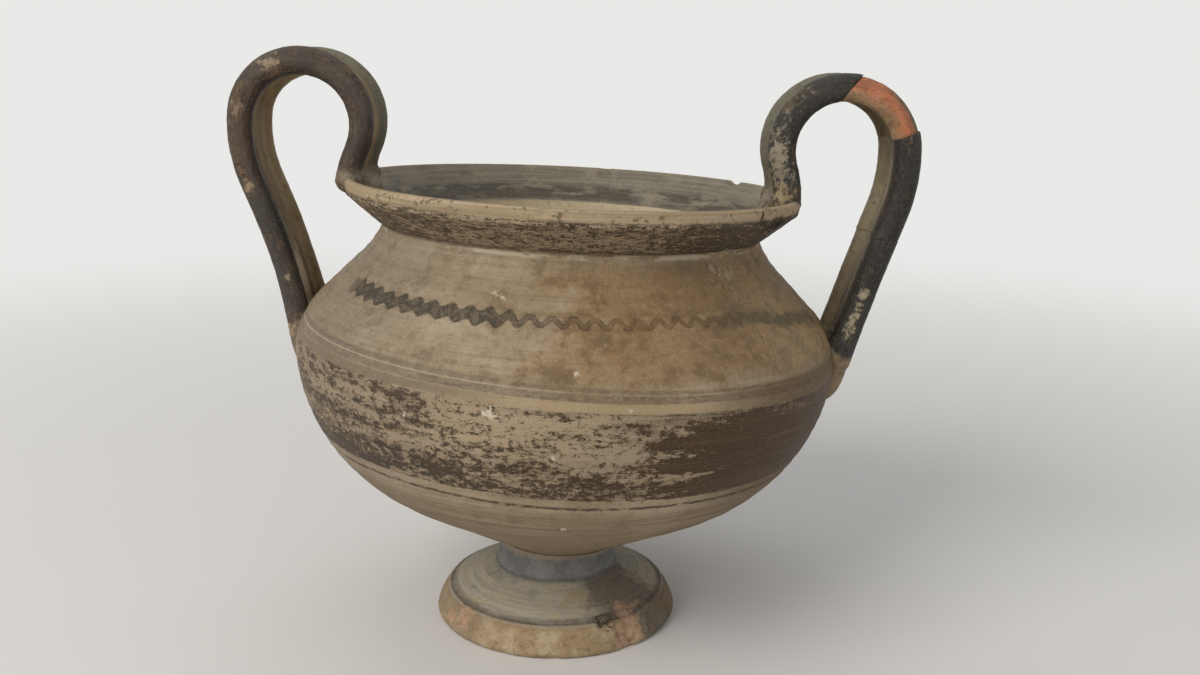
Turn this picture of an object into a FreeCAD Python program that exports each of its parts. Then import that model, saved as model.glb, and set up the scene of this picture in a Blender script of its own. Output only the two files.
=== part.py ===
import FreeCAD, Part
import math
import os
import Sketcher

# Footed two-handled clay cup, built as a parametric document in millimetres.
#
# The cup stands on the XY plane with +Z up and its two handles along X. The bowl, lip
# and handles are drawn upright in the bowl's own frame, whose origin is the middle of
# the joint on top of the foot, and are then leaned together, because the bowl sits
# slightly crooked on its level foot. The right handle is mended from four sherds, and a
# sherd of the lip carries it.

PARTS_FOLDER = "parts"

# Every driving length, in millimetres
SIZES = {
    # the thrown foot
    "foot_radius": 34.2,
    "foot_height": 22.0,
    "foot_edge_round": 1.4,
    "foot_edge_height": 8.4,
    "foot_edge_inset": 3.0,
    "foot_groove_width": 1.4,
    "foot_groove_depth": 0.6,
    "foot_ring_width": 5.6,
    "stem_base_flare": 1.4,
    "stem_base_height": 14.5,
    "stem_ledge": 0.7,
    "stem_waist_curve": 16.0,
    "hollow_floor_radius": 7.0,
    "hollow_height": 8.0,
    "joint_trim": 1.5,
    # the thrown bowl: the neck stands above and inside the belly, the lip above and outside the neck
    "joint_radius": 16.5,
    "belly_radius": 73.5,
    "belly_height": 56.0,
    "belly_curve": 48.6,
    "shoulder_rise": 32.8,
    "shoulder_inset": 22.4,
    "wall": 4.0,
    "floor_wall": 4.6,
    "lip_rise": 12.1,
    "lip_flare": 10.2,
    "rim_round": 1.6,
    "lip_edge_height": 4.2,
    "lip_edge_setback": 0.6,
    # where the foot stands under the whole cup, and the bowl on the foot
    "foot_across": -4.3,
    "foot_along": -1.0,
    "bowl_shift": 0.4,
    # both strap handles
    "strap_plane": 2.4,
    "strap_end_drop": 1.0,
    "margin_spacing": 19.2,
    "web_thickness": 3.8,
    "web_hollow_curve": 38.0,
    # the left handle, its arch placed from the lip
    "left_arch_overhang": 10.0,
    "left_arch_rise": 13.6,
    "left_arch_curve": 16.1,
    "left_margin_radius": 3.15,
    "left_knee_curve": 28.8,
    "left_bend_curve": 38.0,
    # the right handle, its arch placed from the lip
    "right_arch_overhang": 8.8,
    "right_arch_rise": 13.2,
    "right_arch_curve": 16.2,
    "right_margin_radius": 3.7,
    "right_knee_curve": 25.2,
    "right_bend_curve": 44.0,
    # the break across the right arm, measured down from the arch's centre
    "arm_break_drop": 22.5,
    "arm_break_fall": 1.4,
    # the luting clay that holds the handles
    "rim_pad_thickness": 1.7,
    "rim_pad_overhang": 1.0,
    "rim_pad_depth": 9.5,
    "root_pad_drop": 6.0,
    "root_pad_half_height": 17.0,
    "root_pad_half_width": 18.0,
    "root_pad_thickness": 2.5,
    "root_pad_bed": 6.5,
}

# Every driving angle, in degrees
ANGLES = {
    "belly_blend_angle": 6.4,
    "neck_crease_angle": 22.13,
    "lean_angle": 2.53,
    "lean_azimuth_angle": 33.6,
    "left_knee_angle": 22.7,
    "left_arch_end_angle": 2.3,
    "left_arm_angle": 25.6,
    "left_root_angle": 10.46,
    "right_knee_angle": 19.1,
    "right_arch_end_angle": 5.6,
    "right_arm_angle": 17.4,
    "right_root_angle": 14.94,
    "crown_break_outer_angle": 81.5,
    "crown_break_inner_angle": 100.0,
    "outer_break_outer_angle": 19.0,
    "outer_break_inner_angle": 15.0,
    "rim_sherd_front_angle": 40.0,
    "rim_sherd_rear_angle": 23.0,
    "rim_pad_half_angle": 21.0,
    "root_pad_angle": 8.0,
}

# Shares of the sizes that they follow
SHARES = {
    "shoulder_curve_share": 0.564,
    "neck_curve_share": 0.75,
    "strap_start_share": 0.3,
    "margin_flat_share": 0.5,
}

# Sizes that follow from the ones above
DERIVED = {
    "foot_edge_top_radius": "foot_radius - foot_edge_inset",
    "ring_inner_radius": "foot_radius - foot_ring_width",
    "stem_base_radius": "joint_radius + stem_base_flare",
    "neck_radius": "belly_radius - shoulder_inset",
    "neck_height": "belly_height + shoulder_rise",
    "shoulder_curve": "shoulder_rise * shoulder_curve_share",
    "neck_curve": "shoulder_rise * neck_curve_share",
    "rim_radius": "neck_radius + lip_flare",
    "rim_height": "neck_height + lip_rise",
    "strap_start_height": "neck_height + lip_rise * strap_start_share",
    "strap_end_height": "belly_height - strap_end_drop",
    "left_arch_reach": "rim_radius + left_arch_overhang",
    "left_arch_height": "rim_height + left_arch_rise",
    "right_arch_reach": "rim_radius + right_arch_overhang",
    "right_arch_height": "rim_height + right_arch_rise",
    "arm_break_height": "right_arch_height - arm_break_drop",
    "root_pad_height": "belly_height - root_pad_drop",
}

doc = FreeCAD.newDocument("TwoHandledCup")
sheet = doc.addObject("Spreadsheet::Sheet", "Sizes")
cells = dict(SIZES)
cells.update(ANGLES)
cells.update(SHARES)
cells.update(DERIVED)
for row, alias in enumerate(cells, start=1):
    sheet.set("A%d" % row, alias.replace("_", " "))
    sheet.setAlias("B%d" % row, alias)
for row, (alias, value) in enumerate(cells.items(), start=1):
    sheet.set("B%d" % row, "=" + value if alias in DERIVED else str(value))
doc.recompute()


def size(formula):
    """The number that a formula of the sheet's sizes gives."""
    return float(sheet.evalExpression(formula))


def point(across, up):
    """A point of a sketch."""
    return FreeCAD.Vector(across, up, 0)


def polar(centre, radius, turn):
    """The point at a radius and a turn in degrees round a centre."""
    angle = math.radians(turn)
    return centre + point(radius * math.cos(angle), radius * math.sin(angle))


def new_body(name):
    """An empty body, with the label of its piece."""
    body = doc.addObject("PartDesign::Body", name)
    body.Label = name
    return body


def new_sketch(body, name, role, offset=None):
    """An empty sketch on an origin plane of its body, moved by an optional formula."""
    sketch = body.newObject("Sketcher::SketchObject", name)
    plane = next(item for item in body.Origin.OriginFeatures if item.Role == role)
    sketch.AttachmentSupport = [(plane, "")]
    sketch.MapMode = "FlatFace"
    if offset:
        sketch.setExpression("AttachmentOffset", offset)
    return sketch


class Outline:
    """Lines and arcs drawn head to tail in one sketch."""

    def __init__(self, sketch, start):
        self.sketch = sketch
        self.here = start
        self.first = None
        self.last = None

    def join(self, index, begin, end, smooth):
        """Tie a new edge to the one before it, smoothly or at a corner."""
        if self.last is None:
            self.first = (index, begin)
        else:
            kind = "Tangent" if smooth else "Coincident"
            self.sketch.addConstraint(Sketcher.Constraint(kind, *self.last, index, begin))
        self.last = (index, end)
        return index

    def line(self, target, smooth=False):
        """A straight edge to a point."""
        index = self.sketch.addGeometry(Part.LineSegment(self.here, target), False)
        self.here = target
        return self.join(index, 1, 2, smooth)

    def arc(self, centre, radius, from_turn, to_turn, smooth=False):
        """A round edge about a centre, between two turns in degrees."""
        circle = Part.Circle(centre, FreeCAD.Vector(0, 0, 1), radius)
        low, high = sorted((math.radians(from_turn), math.radians(to_turn)))
        index = self.sketch.addGeometry(Part.ArcOfCircle(circle, low, high), False)
        self.here = polar(centre, radius, to_turn)
        if to_turn > from_turn:
            return self.join(index, 1, 2, smooth)
        return self.join(index, 2, 1, smooth)

    def close(self):
        """Tie the last edge to the first."""
        self.sketch.addConstraint(Sketcher.Constraint("Coincident", *self.last, *self.first))

    def tie(self, kind, *where):
        """A constraint without a size."""
        self.sketch.addConstraint(Sketcher.Constraint(kind, *where))

    def dimension(self, name, kind, formula, *where):
        """A named dimension that follows a formula of the sheet's sizes."""
        value = size(formula)
        if kind == "Angle":
            value = math.radians(value)
            formula = "(%s) * 1 deg" % formula
        index = self.sketch.addConstraint(Sketcher.Constraint(kind, *where, value))
        self.sketch.renameConstraint(index, name)
        self.sketch.setExpression("Constraints." + name, formula)

    def place(self, name, index, end, across=None, up=None):
        """Hold one end or centre at the place that one or two formulas give."""
        if across is not None:
            self.dimension(name + "_across", "DistanceX", across, -1, 1, index, end)
        if up is not None:
            self.dimension(name + "_up", "DistanceY", up, -1, 1, index, end)


def revolve(body, sketch, turn=None):
    """Turn a sketch round its upright axis, fully or by the turn that a formula gives."""
    feature = body.newObject("PartDesign::Revolution", sketch.Name + "_turned")
    feature.Profile = sketch
    feature.ReferenceAxis = (sketch, ["V_Axis"])
    feature.Angle = 360
    if turn:
        feature.setExpression("Angle", turn)
    body.Tip = feature
    return body


def polygon(body, name, role, corners, offset=None):
    """A closed sketch through corners, each a pair of formulas."""
    sketch = new_sketch(body, name, role, offset)
    spots = [point(size(across), size(up)) for across, up in corners]
    outline = Outline(sketch, spots[0])
    for spot in spots[1:] + spots[:1]:
        outline.line(spot)
    outline.close()
    for index, (across, up) in enumerate(corners):
        outline.place("corner%d" % index, index, 1, across, up)
    return sketch


def trim(name, base, *tools):
    """A piece with other pieces cut out of it, one after another."""
    for count, tool in enumerate(tools):
        last = count == len(tools) - 1
        cut = doc.addObject("Part::Cut", name if last else "%s_trim%d" % (name, count))
        cut.Base = base
        cut.Tool = tool
        base = cut
    return base


def share_of(name, base, region):
    """The part of a piece that lies in a region."""
    common = doc.addObject("Part::Common", name)
    common.Base = base
    common.Tool = region
    return common


# Where the foot stands under the cup, and the leaned frame of the bowl on the foot
FOOT_PLACE = "placement(vector(Sizes.foot_across; Sizes.foot_along; 0); rotation(vector(0; 0; 1); 0))"
LEAN_AXIS = "vector(-sin(Sizes.lean_azimuth_angle * 1 deg); cos(Sizes.lean_azimuth_angle * 1 deg); 0)"
LEAN_PLACE = (
    "placement(vector(Sizes.bowl_shift; -Sizes.bowl_shift; Sizes.foot_height);"
    " rotation(" + LEAN_AXIS + "; Sizes.lean_angle))"
)
BOWL_PLACE = FOOT_PLACE + " * " + LEAN_PLACE

# The slope of the lip's underside, from the neck crease to its outer edge
LIP_SLOPE = "atan((Sizes.lip_rise - Sizes.lip_edge_height) / (Sizes.lip_flare - Sizes.lip_edge_setback))"

pieces = []


def keep(piece, place=BOWL_PLACE):
    """Hand a finished piece over under its own label, set in its place on the cup."""
    piece.Label = piece.Name
    piece.setExpression("Placement", place)
    pieces.append(piece)
    return piece


# The foot: a turned stem on a flaring base, hollow underneath
def make_foot():
    """The turned foot, its top cut to the lean of the bowl that it carries."""
    body = new_body("foot_turned")
    sketch = new_sketch(body, "foot_outline", "XZ_Plane")
    edge_round = size("Sizes.foot_edge_round")
    edge_centre = point(size("Sizes.foot_radius") - edge_round, edge_round)
    edge_top = point(size("Sizes.foot_edge_top_radius"), size("Sizes.foot_edge_height"))
    reach = edge_top - edge_centre
    edge_turn = math.degrees(math.atan2(reach.y, reach.x) - math.acos(edge_round / reach.Length))
    groove = point(size("Sizes.foot_groove_width") / 2, size("Sizes.foot_groove_depth"))
    step = size("Sizes.stem_ledge")
    stem_base = point(size("Sizes.stem_base_radius"), size("Sizes.stem_base_height"))
    stem_foot = stem_base + point(-step, step)
    top = point(size("Sizes.joint_radius"), size("Sizes.foot_height + Sizes.joint_trim"))
    hollow = point(size("Sizes.hollow_floor_radius"), size("Sizes.hollow_height"))

    outline = Outline(sketch, point(0, hollow.y))
    floor = outline.line(hollow)
    slope = outline.line(point(size("Sizes.ring_inner_radius"), 0))
    ring = outline.line(point(edge_centre.x, 0))
    rounding = outline.arc(edge_centre, edge_round, -90, edge_turn)
    edge = outline.line(edge_top, smooth=True)
    groove_side = outline.line(edge_top - groove)
    groove_rise = outline.line(point(edge_top.x - 2 * groove.x, edge_top.y + groove.y))
    outline.line(stem_base)
    foot_step = outline.line(stem_foot)
    waist = size("Sizes.stem_waist_curve")
    chord = top - stem_foot
    away = math.sqrt(waist ** 2 - (chord.Length / 2) ** 2)
    waist_centre = stem_foot + chord * 0.5 + point(chord.y, -chord.x) * (away / chord.Length)
    low = stem_foot - waist_centre
    high = top - waist_centre
    low_turn = math.degrees(math.atan2(low.y, low.x)) % 360
    high_turn = math.degrees(math.atan2(high.y, high.x)) % 360
    stem = outline.arc(waist_centre, waist, low_turn, high_turn)
    lid = outline.line(point(0, top.y))
    outline.line(point(0, hollow.y))
    outline.close()

    outline.tie("Horizontal", floor)
    outline.tie("Horizontal", ring)
    outline.tie("Horizontal", lid)
    outline.place("hollow", floor, 2, "Sizes.hollow_floor_radius", "Sizes.hollow_height")
    outline.place("hollow_middle", floor, 1, "0")
    outline.place("ring", slope, 2, "Sizes.ring_inner_radius", "0")
    outline.place("edge", rounding, 3, "Sizes.foot_radius - Sizes.foot_edge_round")
    outline.place("ring_edge", rounding, 1, "Sizes.foot_radius - Sizes.foot_edge_round")
    outline.dimension("edge_round", "Radius", "Sizes.foot_edge_round", rounding)
    outline.place("edge_top", edge, 2, "Sizes.foot_edge_top_radius", "Sizes.foot_edge_height")
    half_groove = "-Sizes.foot_groove_width / 2"
    outline.dimension("groove_out", "DistanceX", half_groove, groove_side, 1, groove_side, 2)
    outline.dimension("groove_down", "DistanceY", "-Sizes.foot_groove_depth", groove_side, 1, groove_side, 2)
    outline.dimension("groove_in", "DistanceX", half_groove, groove_rise, 1, groove_rise, 2)
    outline.dimension("groove_up", "DistanceY", "2 * Sizes.foot_groove_depth", groove_rise, 1, groove_rise, 2)
    outline.place("stem_base", foot_step, 1, "Sizes.stem_base_radius", "Sizes.stem_base_height")
    outline.dimension("step_in", "DistanceX", "-Sizes.stem_ledge", foot_step, 1, foot_step, 2)
    outline.dimension("step_up", "DistanceY", "Sizes.stem_ledge", foot_step, 1, foot_step, 2)
    outline.dimension("waist", "Radius", "Sizes.stem_waist_curve", stem)
    outline.place("stem_top", lid, 1, "Sizes.joint_radius", "Sizes.foot_height + Sizes.joint_trim")
    outline.place("lid_middle", lid, 2, "0")
    revolve(body, sketch)

    top_cut = doc.addObject("Part::Cylinder", "joint_cut")
    top_cut.setExpression("Radius", "2 * Sizes.joint_radius")
    top_cut.setExpression("Height", "Sizes.foot_height")
    top_cut.setExpression("Placement", LEAN_PLACE)
    keep(trim("foot", body, top_cut), FOOT_PLACE)


# The bowl: one thrown wall from the joint through belly, shoulder and neck to the rim
def bowl_outline(outline, wall_share):
    """The bowl's outer line from the joint to the neck, or the same line inside the wall.

    Both lines share their arcs' centres, so the wall has one thickness. The line is
    drawn upwards on the outside, where wall_share is 0, and downwards on the inside,
    where it is 1. It gives the numbers of its edges, from the joint upwards.
    """
    inset = "Sizes.wall * %d" % wall_share
    shoulder = size("Sizes.shoulder_curve")
    belly = size("Sizes.belly_curve")
    blend = -size("Sizes.belly_blend_angle")
    curve = size("Sizes.neck_curve")
    neck = point(size("Sizes.neck_radius"), size("Sizes.neck_height"))
    neck_centre = polar(neck, curve, size("Sizes.neck_crease_angle"))
    shoulder_centre = point(size("Sizes.belly_radius") - shoulder, size("Sizes.belly_height"))
    across = neck_centre - shoulder_centre
    tilt = math.degrees(math.atan2(across.y, across.x) - math.acos((shoulder + curve) / across.Length))
    belly_centre = polar(shoulder_centre, shoulder - belly, blend)
    joint = point(size("Sizes.joint_radius"), 0)
    gap = belly_centre - joint
    slope = math.degrees(math.atan2(gap.y, gap.x) - math.asin(belly / gap.Length))
    along_shoulder = polar(point(0, 0), 1, tilt + 90)
    belly -= size(inset)
    shoulder -= size(inset)
    shoulder_end = polar(shoulder_centre, shoulder, tilt)
    if wall_share:
        bore = size("Sizes.neck_radius - Sizes.wall")
        run = (bore - shoulder_end.x) / along_shoulder.x
        top_of_line = shoulder_end + along_shoulder * run
        down = outline.line(top_of_line)
        line = outline.line(shoulder_end)
        upper = outline.arc(shoulder_centre, shoulder, tilt, blend, smooth=True)
        lower = outline.arc(belly_centre, belly, blend, slope - 90, smooth=True)
        drop = (outline.here.y - size("Sizes.floor_wall")) / math.sin(math.radians(slope))
        base = outline.line(polar(outline.here, -drop, slope), smooth=True)
        return base, lower, upper, line, down
    crease = 180 + size("Sizes.neck_crease_angle")
    base = outline.line(polar(belly_centre, belly, slope - 90))
    lower = outline.arc(belly_centre, belly, slope - 90, blend, smooth=True)
    upper = outline.arc(shoulder_centre, shoulder, blend, tilt, smooth=True)
    line = outline.line(polar(neck_centre, curve, tilt + 180), smooth=True)
    throat = outline.arc(neck_centre, curve, tilt + 180, crease, smooth=True)
    outline.place("joint", base, 1, "Sizes.joint_radius", "0")
    outline.dimension("belly_curve", "Radius", "Sizes.belly_curve", lower)
    outline.dimension("shoulder_curve", "Radius", "Sizes.shoulder_curve", upper)
    outline.place("belly", upper, 3, "Sizes.belly_radius - Sizes.shoulder_curve", "Sizes.belly_height")
    blend_drop = "Sizes.shoulder_curve * sin(Sizes.belly_blend_angle * 1 deg)"
    outline.place("blend", upper, 1, up="Sizes.belly_height - " + blend_drop)
    outline.dimension("neck_curve", "Radius", "Sizes.neck_curve", throat)
    outline.place("neck", throat, 1, "Sizes.neck_radius", "Sizes.neck_height")
    crease_drop = "Sizes.neck_curve * sin(Sizes.neck_crease_angle * 1 deg)"
    outline.place("throat_centre", throat, 3, up="Sizes.neck_height + " + crease_drop)
    return base, lower, upper, line, throat


def make_bowl_wall():
    """The whole wall of the bowl and lip, turned in one piece."""
    body = new_body("bowl_thrown")
    sketch = new_sketch(body, "bowl_outline", "XZ_Plane")
    bead = size("Sizes.rim_round")
    rim = point(size("Sizes.rim_radius"), size("Sizes.rim_height"))
    bead_centre = rim - point(bead, bead)
    lip_corner = rim - point(size("Sizes.lip_edge_setback"), size("Sizes.lip_edge_height"))
    neck = point(size("Sizes.neck_radius"), size("Sizes.neck_height"))
    lip = lip_corner - neck
    lip_slope = math.degrees(math.atan2(lip.y, lip.x))

    outline = Outline(sketch, point(0, 0))
    bottom = outline.line(point(size("Sizes.joint_radius"), 0))
    outer = bowl_outline(outline, 0)
    under_lip = outline.line(lip_corner)
    edge = outline.line(point(rim.x, bead_centre.y))
    crest = outline.arc(bead_centre, bead, 0, 90 + lip_slope)
    bore = size("Sizes.neck_radius - Sizes.wall")
    run = (outline.here.x - bore) / math.cos(math.radians(lip_slope))
    over_lip = outline.line(polar(outline.here, -run, lip_slope), smooth=True)
    inner = bowl_outline(outline, 1)
    floor = outline.line(point(0, outline.here.y))
    axis = outline.line(point(0, 0))
    outline.close()

    outline.tie("Horizontal", bottom)
    outline.place("middle", bottom, 1, "0")
    outline.place(
        "lip_corner",
        under_lip,
        2,
        "Sizes.rim_radius - Sizes.lip_edge_setback",
        "Sizes.rim_height - Sizes.lip_edge_height",
    )
    outline.place("edge", edge, 2, "Sizes.rim_radius", "Sizes.rim_height - Sizes.rim_round")
    outline.dimension("rim_round", "Radius", "Sizes.rim_round", crest)
    outline.place("bead", crest, 3, up="Sizes.rim_height - Sizes.rim_round")
    outline.tie("Parallel", over_lip, under_lip)
    outline.place("bore", over_lip, 2, "Sizes.neck_radius - Sizes.wall")
    outline.tie("Vertical", inner[4])
    outline.tie("Parallel", inner[3], outer[3])
    outline.tie("Coincident", inner[2], 3, outer[2], 3)
    outline.dimension("inner_shoulder", "Radius", "Sizes.shoulder_curve - Sizes.wall", inner[2])
    outline.tie("Coincident", inner[1], 3, outer[1], 3)
    outline.tie("Parallel", inner[0], outer[0])
    outline.tie("Horizontal", floor)
    outline.place("floor", axis, 1, "0", "Sizes.floor_wall")
    return revolve(body, sketch)


def make_bowl_form():
    """The filled form of the bowl with a collar under its lip, which cuts what is luted on."""
    body = new_body("bowl_form")
    sketch = new_sketch(body, "bowl_form_outline", "XZ_Plane")
    collar = point(size("Sizes.rim_radius + Sizes.wall"), size("Sizes.neck_height"))
    bead = size("Sizes.rim_round")
    bead_centre = point(size("Sizes.rim_radius") - bead, size("Sizes.rim_height") - bead)
    throat = size("Sizes.neck_radius - Sizes.wall / 2")
    outline = Outline(sketch, point(0, 0))
    bottom = outline.line(point(size("Sizes.joint_radius"), 0))
    bowl_outline(outline, 0)
    under = outline.line(collar)
    side = outline.line(point(collar.x, bead_centre.y))
    over = outline.line(bead_centre)
    inner = outline.line(point(throat, collar.y))
    lid = outline.line(point(0, collar.y))
    outline.line(point(0, 0))
    outline.close()
    outline.tie("Horizontal", bottom)
    outline.place("middle", bottom, 1, "0")
    outline.tie("Horizontal", under)
    outline.tie("Vertical", side)
    outline.tie("Horizontal", over)
    outline.place("collar", over, 1, "Sizes.rim_radius + Sizes.wall", "Sizes.rim_height - Sizes.rim_round")
    outline.place("bead", inner, 1, "Sizes.rim_radius - Sizes.rim_round")
    outline.place("throat", lid, 1, "Sizes.neck_radius - Sizes.wall / 2", "Sizes.neck_height")
    outline.tie("Horizontal", lid)
    outline.place("lid_middle", lid, 2, "0")
    return revolve(body, sketch)


def turned_about_z(turn):
    """The sketch offset that swings an upright sketch plane round the Z axis."""
    return "placement(vector(0; 0; 0); rotation(vector(0; 1; 0); %s))" % turn


def make_lip_break():
    """The region of the lip that broke away as one sherd, from the neck crease up."""
    body = new_body("lip_break")
    slope = LIP_SLOPE
    bore = "Sizes.neck_radius - Sizes.wall"
    bead_across = "(Sizes.rim_radius - Sizes.rim_round - Sizes.rim_round * sin(%s))" % slope
    bead_up = "(Sizes.rim_height - Sizes.rim_round + Sizes.rim_round * cos(%s))" % slope
    bore_up = "%s - (%s - (%s)) * tan(%s)" % (bead_up, bead_across, bore, slope)
    far = "Sizes.rim_radius + Sizes.wall"
    above = "Sizes.rim_height + Sizes.wall"
    corners = [
        (bore, bore_up),
        ("Sizes.neck_radius", "Sizes.neck_height"),
        (far, "Sizes.neck_height"),
        (far, above),
        (bore + " - Sizes.wall", above),
    ]
    offset = turned_about_z("-Sizes.rim_sherd_front_angle")
    sketch = polygon(body, "lip_break_outline", "XZ_Plane", corners, offset)
    return revolve(body, sketch, "Sizes.rim_sherd_front_angle + Sizes.rim_sherd_rear_angle")


# The handles: a hollowed web between two thick rolled margins, swept along one path
def side_size(side, name):
    """The formula of a size that each handle has for itself."""
    return "Sizes.%s_%s" % (side, name)


def strap_path(body, side):
    """The handle's middle line, upright at the lip, over the arch and down to the root."""
    sign = -1 if side == "left" else 1
    offset = "placement(vector(0; 0; Sizes.strap_plane); rotation(vector(0; 1; 0); 0))"
    sketch = new_sketch(body, body.Name + "_path", "XZ_Plane", offset)
    arch = size(side_size(side, "arch_curve"))
    knee = size(side_size(side, "knee_curve"))
    bend = size(side_size(side, "bend_curve"))
    knee_turn = size(side_size(side, "knee_angle"))
    end_turn = size(side_size(side, "arch_end_angle"))
    arm = size(side_size(side, "arm_angle"))
    root = size(side_size(side, "root_angle"))
    reach = size(side_size(side, "arch_reach"))
    centre = point(reach, size(side_size(side, "arch_height")))
    knee_centre = polar(centre, -(arch + knee), knee_turn)
    bend_centre = polar(centre, arch - bend, end_turn)
    arm_top = polar(bend_centre, bend, -arm)
    fall = arm_top.y - size("Sizes.strap_end_height")
    arm_curve = fall / (math.sin(math.radians(arm)) - math.sin(math.radians(root)))
    arm_centre = polar(arm_top, arm_curve, -arm)
    start = point(knee_centre.x + knee, size("Sizes.strap_start_height"))

    def mirrored(spot):
        return point(sign * spot.x, spot.y)

    def turned(turn):
        return turn if sign > 0 else 180 - turn

    outline = Outline(sketch, mirrored(start))
    rise = outline.line(mirrored(point(start.x, knee_centre.y)))
    knee_arc = outline.arc(mirrored(knee_centre), knee, turned(0), turned(knee_turn), smooth=True)
    arch_arc = outline.arc(mirrored(centre), arch, turned(180 + knee_turn), turned(end_turn), smooth=True)
    bend_arc = outline.arc(mirrored(bend_centre), bend, turned(end_turn), turned(-arm), smooth=True)
    arm_arc = outline.arc(mirrored(arm_centre), arm_curve, turned(180 - arm), turned(180 - root), smooth=True)
    arch_across = ("" if sign > 0 else "-") + side_size(side, "arch_reach")
    outline.tie("Vertical", rise)
    outline.place("start", rise, 1, up="Sizes.strap_start_height")
    outline.place("arch", arch_arc, 3, arch_across, side_size(side, "arch_height"))
    outline.dimension("arch_curve", "Radius", side_size(side, "arch_curve"), arch_arc)
    outline.dimension("knee_curve", "Radius", side_size(side, "knee_curve"), knee_arc)
    outline.dimension("bend_curve", "Radius", side_size(side, "bend_curve"), bend_arc)
    outline.place("root", arm_arc, 2 if sign > 0 else 1, up="Sizes.strap_end_height")
    return sketch, start


def sweep_along(body, section, path):
    """Carry a section along a path."""
    feature = body.newObject("PartDesign::AdditivePipe", body.Name + "_pipe")
    feature.Profile = section
    feature.Spine = (path, ["Edge%d" % (count + 1) for count in range(path.GeometryCount)])
    body.Tip = feature
    return body


def strap_level():
    """The sketch offset that lifts a section to the strap's start."""
    return "placement(vector(0; 0; Sizes.strap_start_height); rotation(vector(0; 0; 1); 0))"


def start_across(side):
    """The formula of how far out the strap starts, measured from the arch's centre."""
    knee = side_size(side, "knee_curve")
    arch = side_size(side, "arch_curve")
    swing = "(%s + %s) * cos(%s * 1 deg)" % (arch, knee, side_size(side, "knee_angle"))
    return "(%s - %s + %s)" % (side_size(side, "arch_reach"), swing, knee)


def make_margin(side, place, towards):
    """One rolled margin of a strap: a round rod with a flat where the web joins it."""
    sign = -1 if side == "left" else 1
    body = new_body("%s_%s_margin_whole" % (side, place))
    path, start = strap_path(body, side)
    section = new_sketch(body, body.Name + "_section", "XY_Plane", strap_level())
    radius = size(side_size(side, "margin_radius"))
    flat_share = size("Sizes.margin_flat_share")
    middle = "-Sizes.strap_plane + %d * Sizes.margin_spacing / 2" % towards
    centre = point(sign * start.x, size(middle))
    half_flat = math.degrees(math.acos(flat_share))
    inward = 270 if towards > 0 else 90
    outline = Outline(section, polar(centre, radius, inward + half_flat))
    rod = outline.arc(centre, radius, inward + half_flat, inward + 360 - half_flat)
    flat = outline.line(polar(centre, radius, inward + half_flat))
    outline.close()
    side_sign = "" if sign > 0 else "-"
    outline.place("rod", rod, 3, side_sign + start_across(side), middle)
    outline.dimension("rod_radius", "Radius", side_size(side, "margin_radius"), rod)
    outline.tie("Horizontal", flat)
    flat_depth = "%s * Sizes.margin_flat_share * %d" % (side_size(side, "margin_radius"), -towards)
    outline.dimension("flat_depth", "DistanceY", flat_depth, rod, 3, flat, 1)
    return sweep_along(body, section, path)


def make_web(side):
    """The web of a strap, thinnest in the middle, between the flats of its margins."""
    sign = -1 if side == "left" else 1
    body = new_body("%s_web_whole" % side)
    path, start = strap_path(body, side)
    section = new_sketch(body, body.Name + "_section", "XY_Plane", strap_level())
    margin = side_size(side, "margin_radius")
    half_width = "(Sizes.margin_spacing / 2 - %s * Sizes.margin_flat_share)" % margin
    half = size(half_width)
    thick = size("Sizes.web_thickness") / 2
    middle = point(sign * start.x, size("-Sizes.strap_plane"))
    curve = size("Sizes.web_hollow_curve")
    away = math.sqrt(curve ** 2 - half ** 2)
    swing = math.degrees(math.asin(half / curve))
    outline = Outline(section, middle + point(-thick, -half))
    near = outline.line(middle + point(thick, -half))
    outer = outline.arc(middle + point(thick + away, 0), curve, 180 + swing, 180 - swing)
    far = outline.line(middle + point(-thick, half))
    inner = outline.arc(middle - point(thick + away, 0), curve, swing, -swing)
    outline.close()
    across = ("" if sign > 0 else "-") + start_across(side) + " - Sizes.web_thickness / 2"
    outline.tie("Horizontal", near)
    outline.tie("Horizontal", far)
    outline.place("near", near, 1, across, "-Sizes.strap_plane - " + half_width)
    outline.dimension("near_width", "DistanceX", "Sizes.web_thickness", near, 1, near, 2)
    outline.place("far", far, 2, across, "-Sizes.strap_plane + " + half_width)
    outline.dimension("far_width", "DistanceX", "Sizes.web_thickness", far, 2, far, 1)
    outline.dimension("outer_hollow", "Radius", "Sizes.web_hollow_curve", outer)
    outline.dimension("inner_hollow", "Radius", "Sizes.web_hollow_curve", inner)
    return sweep_along(body, section, path)


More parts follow.
